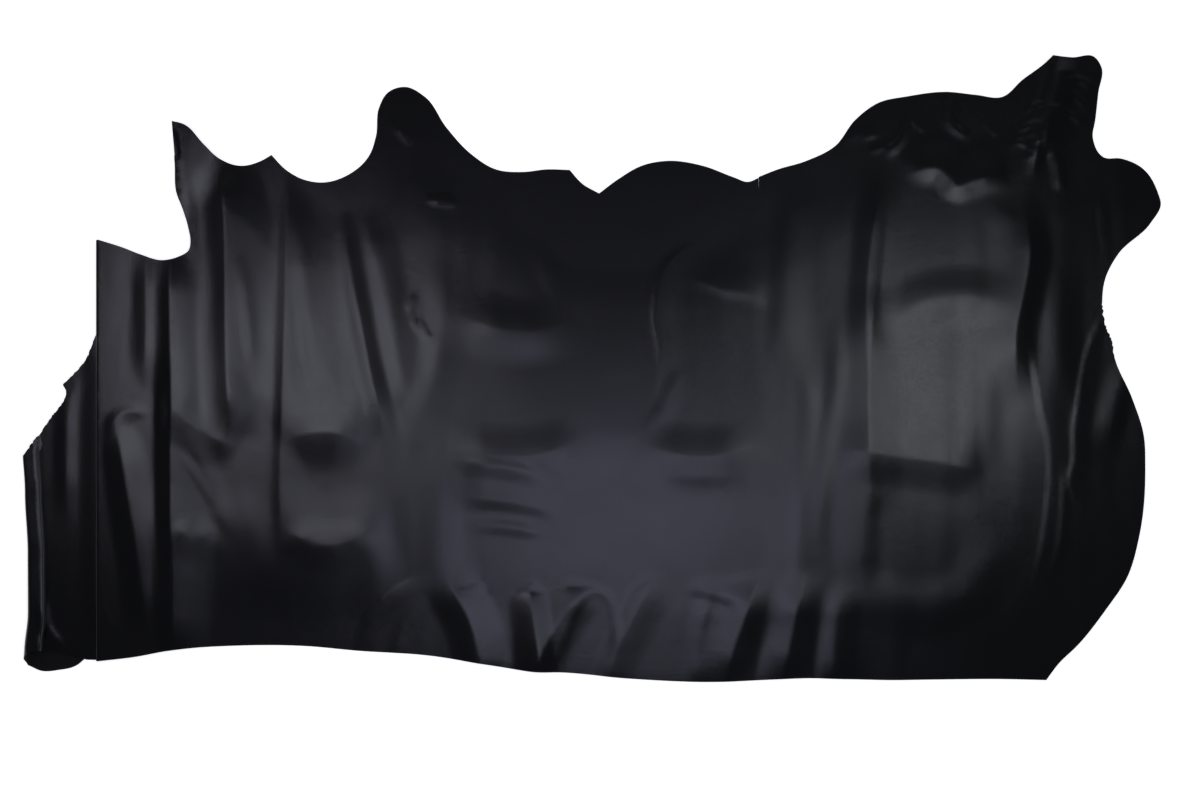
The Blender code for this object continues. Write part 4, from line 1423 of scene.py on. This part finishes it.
@dataclass
class Studio:
    """The floor, the camera above it and the soft boxes overhead."""
    centre: np.ndarray            # of the lying side's outline, in its own millimetres
    floor_size: float = 24.0
    floor_drop: float = 0.0003    # how far the floor lies below the hide
    floor_paint: Colour = (0.9, 0.9, 0.9, 1.0)
    floor_roughness: float = 0.9
    floor_glow: float = 0.79
    room_paint: Colour = (0.96, 0.98, 1.0, 1.0)
    room_dusk: tuple[float, float] = (0.06, 0.55)     # how high up the room turns dark
    room_light: tuple[float, float] = (0.95, 0.05)    # its strength below that and above
    camera_place: tuple[float, float, float] = (0.016, -0.063, 4.0)
    lens: float = 60.0
    lamp_height: float = 2.0
    lamps: tuple[Lamp, ...] = (
        Lamp("rump box", 188, 486, 398, 946, 2.15, Tint.VIOLET),
        Lamp("haunch box", 192, 350, 364, 486, 0.55, Tint.VIOLET),
        Lamp("thigh box", 446, 508, 788, 800, 2.9, Tint.VIOLET),
        Lamp("flank box", 468, 346, 814, 496, 0.58, Tint.PALE_VIOLET),
        Lamp("loin box", 862, 180, 1514, 470, 1.6, Tint.BLUE),
        Lamp("loin glow", 1000, 160, 1400, 340, 2.4, Tint.BLUE),
        Lamp("belly box", 862, 516, 1514, 704, 0.3, Tint.BLUE),
        Lamp("shoulder box", 1544, 240, 1674, 820, 1.4, Tint.PALE_BLUE),
        Lamp("panel box", 1714, 452, 1886, 750, 4.3, Tint.GREEN),
        Lamp("panel side box", 1886, 452, 1944, 750, 2.6, Tint.GREEN),
        Lamp("pocket box", 1734, 804, 1964, 964, 0.6, Tint.GREEN),
        Lamp("hem box", 640, 30, 1560, 180, 0.32, Tint.BLUE),
        Lamp("back leg box", 860, 780, 1500, 1020, 0.12, Tint.BLUE),
        Lamp("north fill box", -400, 1440, 2700, 2300, 0.25, Tint.WHITE),
    )

    def build(self) -> None:
        """Builds the floor, the lights and the camera."""
        self.floor()
        self.surroundings()
        for lamp in self.lamps:
            self.box(lamp)
        self.camera()

    def floor(self) -> None:
        """A wide pale floor just under the hide."""
        half = self.floor_size / 2
        corners = [(-half, -half, 0.0), (half, -half, 0.0), (half, half, 0.0), (-half, half, 0.0)]
        mesh = bpy.data.meshes.new("floor")
        mesh.from_pydata(corners, [], [(0, 1, 2, 3)])
        paint = bpy.data.materials.new("white floor")
        paint.use_nodes = True
        shader = paint.node_tree.nodes["Principled BSDF"]
        shader.inputs["Base Color"].default_value = self.floor_paint
        shader.inputs["Roughness"].default_value = self.floor_roughness
        shader.inputs["Emission Color"].default_value = WHITE
        shader.inputs["Emission Strength"].default_value = self.floor_glow
        mesh.materials.append(paint)
        plane = bpy.data.objects.new("floor", mesh)
        plane.location.z = -self.floor_drop
        bpy.context.scene.collection.objects.link(plane)

    def surroundings(self) -> None:
        """A room that is pale near the floor and dark overhead."""
        world = bpy.data.worlds.new("studio")
        world.use_nodes = True
        bpy.context.scene.world = world
        nodes = Nodes(world.node_tree)
        place = nodes.add("ShaderNodeTexCoord")
        split = nodes.add("ShaderNodeSeparateXYZ")
        nodes.link(place.outputs["Generated"], split.inputs["Vector"])
        strength = nodes.ramp(split.outputs["Z"], *self.room_dusk, *self.room_light)
        back = world.node_tree.nodes["Background"]
        back.inputs["Color"].default_value = self.room_paint
        nodes.link(strength, back.inputs["Strength"])

    def box(self, lamp: Lamp) -> None:
        """Hangs one soft box where the camera sees it mirrored in its patch.

        Args:
            lamp: the soft box, by its patch, strength and tint.
        """
        eye = np.array(self.camera_place)
        share = self.lamp_height / eye[2]
        low = (np.array((lamp.west, lamp.south)) - self.centre) * MM
        high = (np.array((lamp.east, lamp.north)) - self.centre) * MM
        middle = (low + high) / 2
        size = (high - low) * (1 + share)
        light = bpy.data.lights.new(lamp.name, "AREA")
        light.shape = "RECTANGLE"
        light.size, light.size_y = float(size[0]), float(size[1])
        light.energy = lamp.radiance * math.pi * float(size[0] * size[1])
        light.color = lamp.tint.value
        hung = bpy.data.objects.new(lamp.name, light)
        place = middle * (1 + share) - eye[:2] * share
        hung.location = (float(place[0]), float(place[1]), self.lamp_height)
        hung.visible_camera = False
        bpy.context.scene.collection.objects.link(hung)

    def camera(self) -> None:
        """Looks straight down on the hide."""
        lens = bpy.data.cameras.new("camera")
        lens.lens = self.lens
        eye = bpy.data.objects.new("camera", lens)
        eye.location = self.camera_place
        bpy.context.scene.collection.objects.link(eye)
        bpy.context.scene.camera = eye
        bpy.context.scene.view_settings.view_transform = "Standard"


def main() -> None:
    """Builds the hide and the studio round it."""
    logging.basicConfig(level=logging.INFO, format="%(name)s: %(message)s")
    hide = Hide()
    piece = hide.build()
    LOG.info("%s: %d faces", piece.name, len(piece.data.polygons))
    Studio(hide.centre).build()


if __name__ == "__main__":
    main()
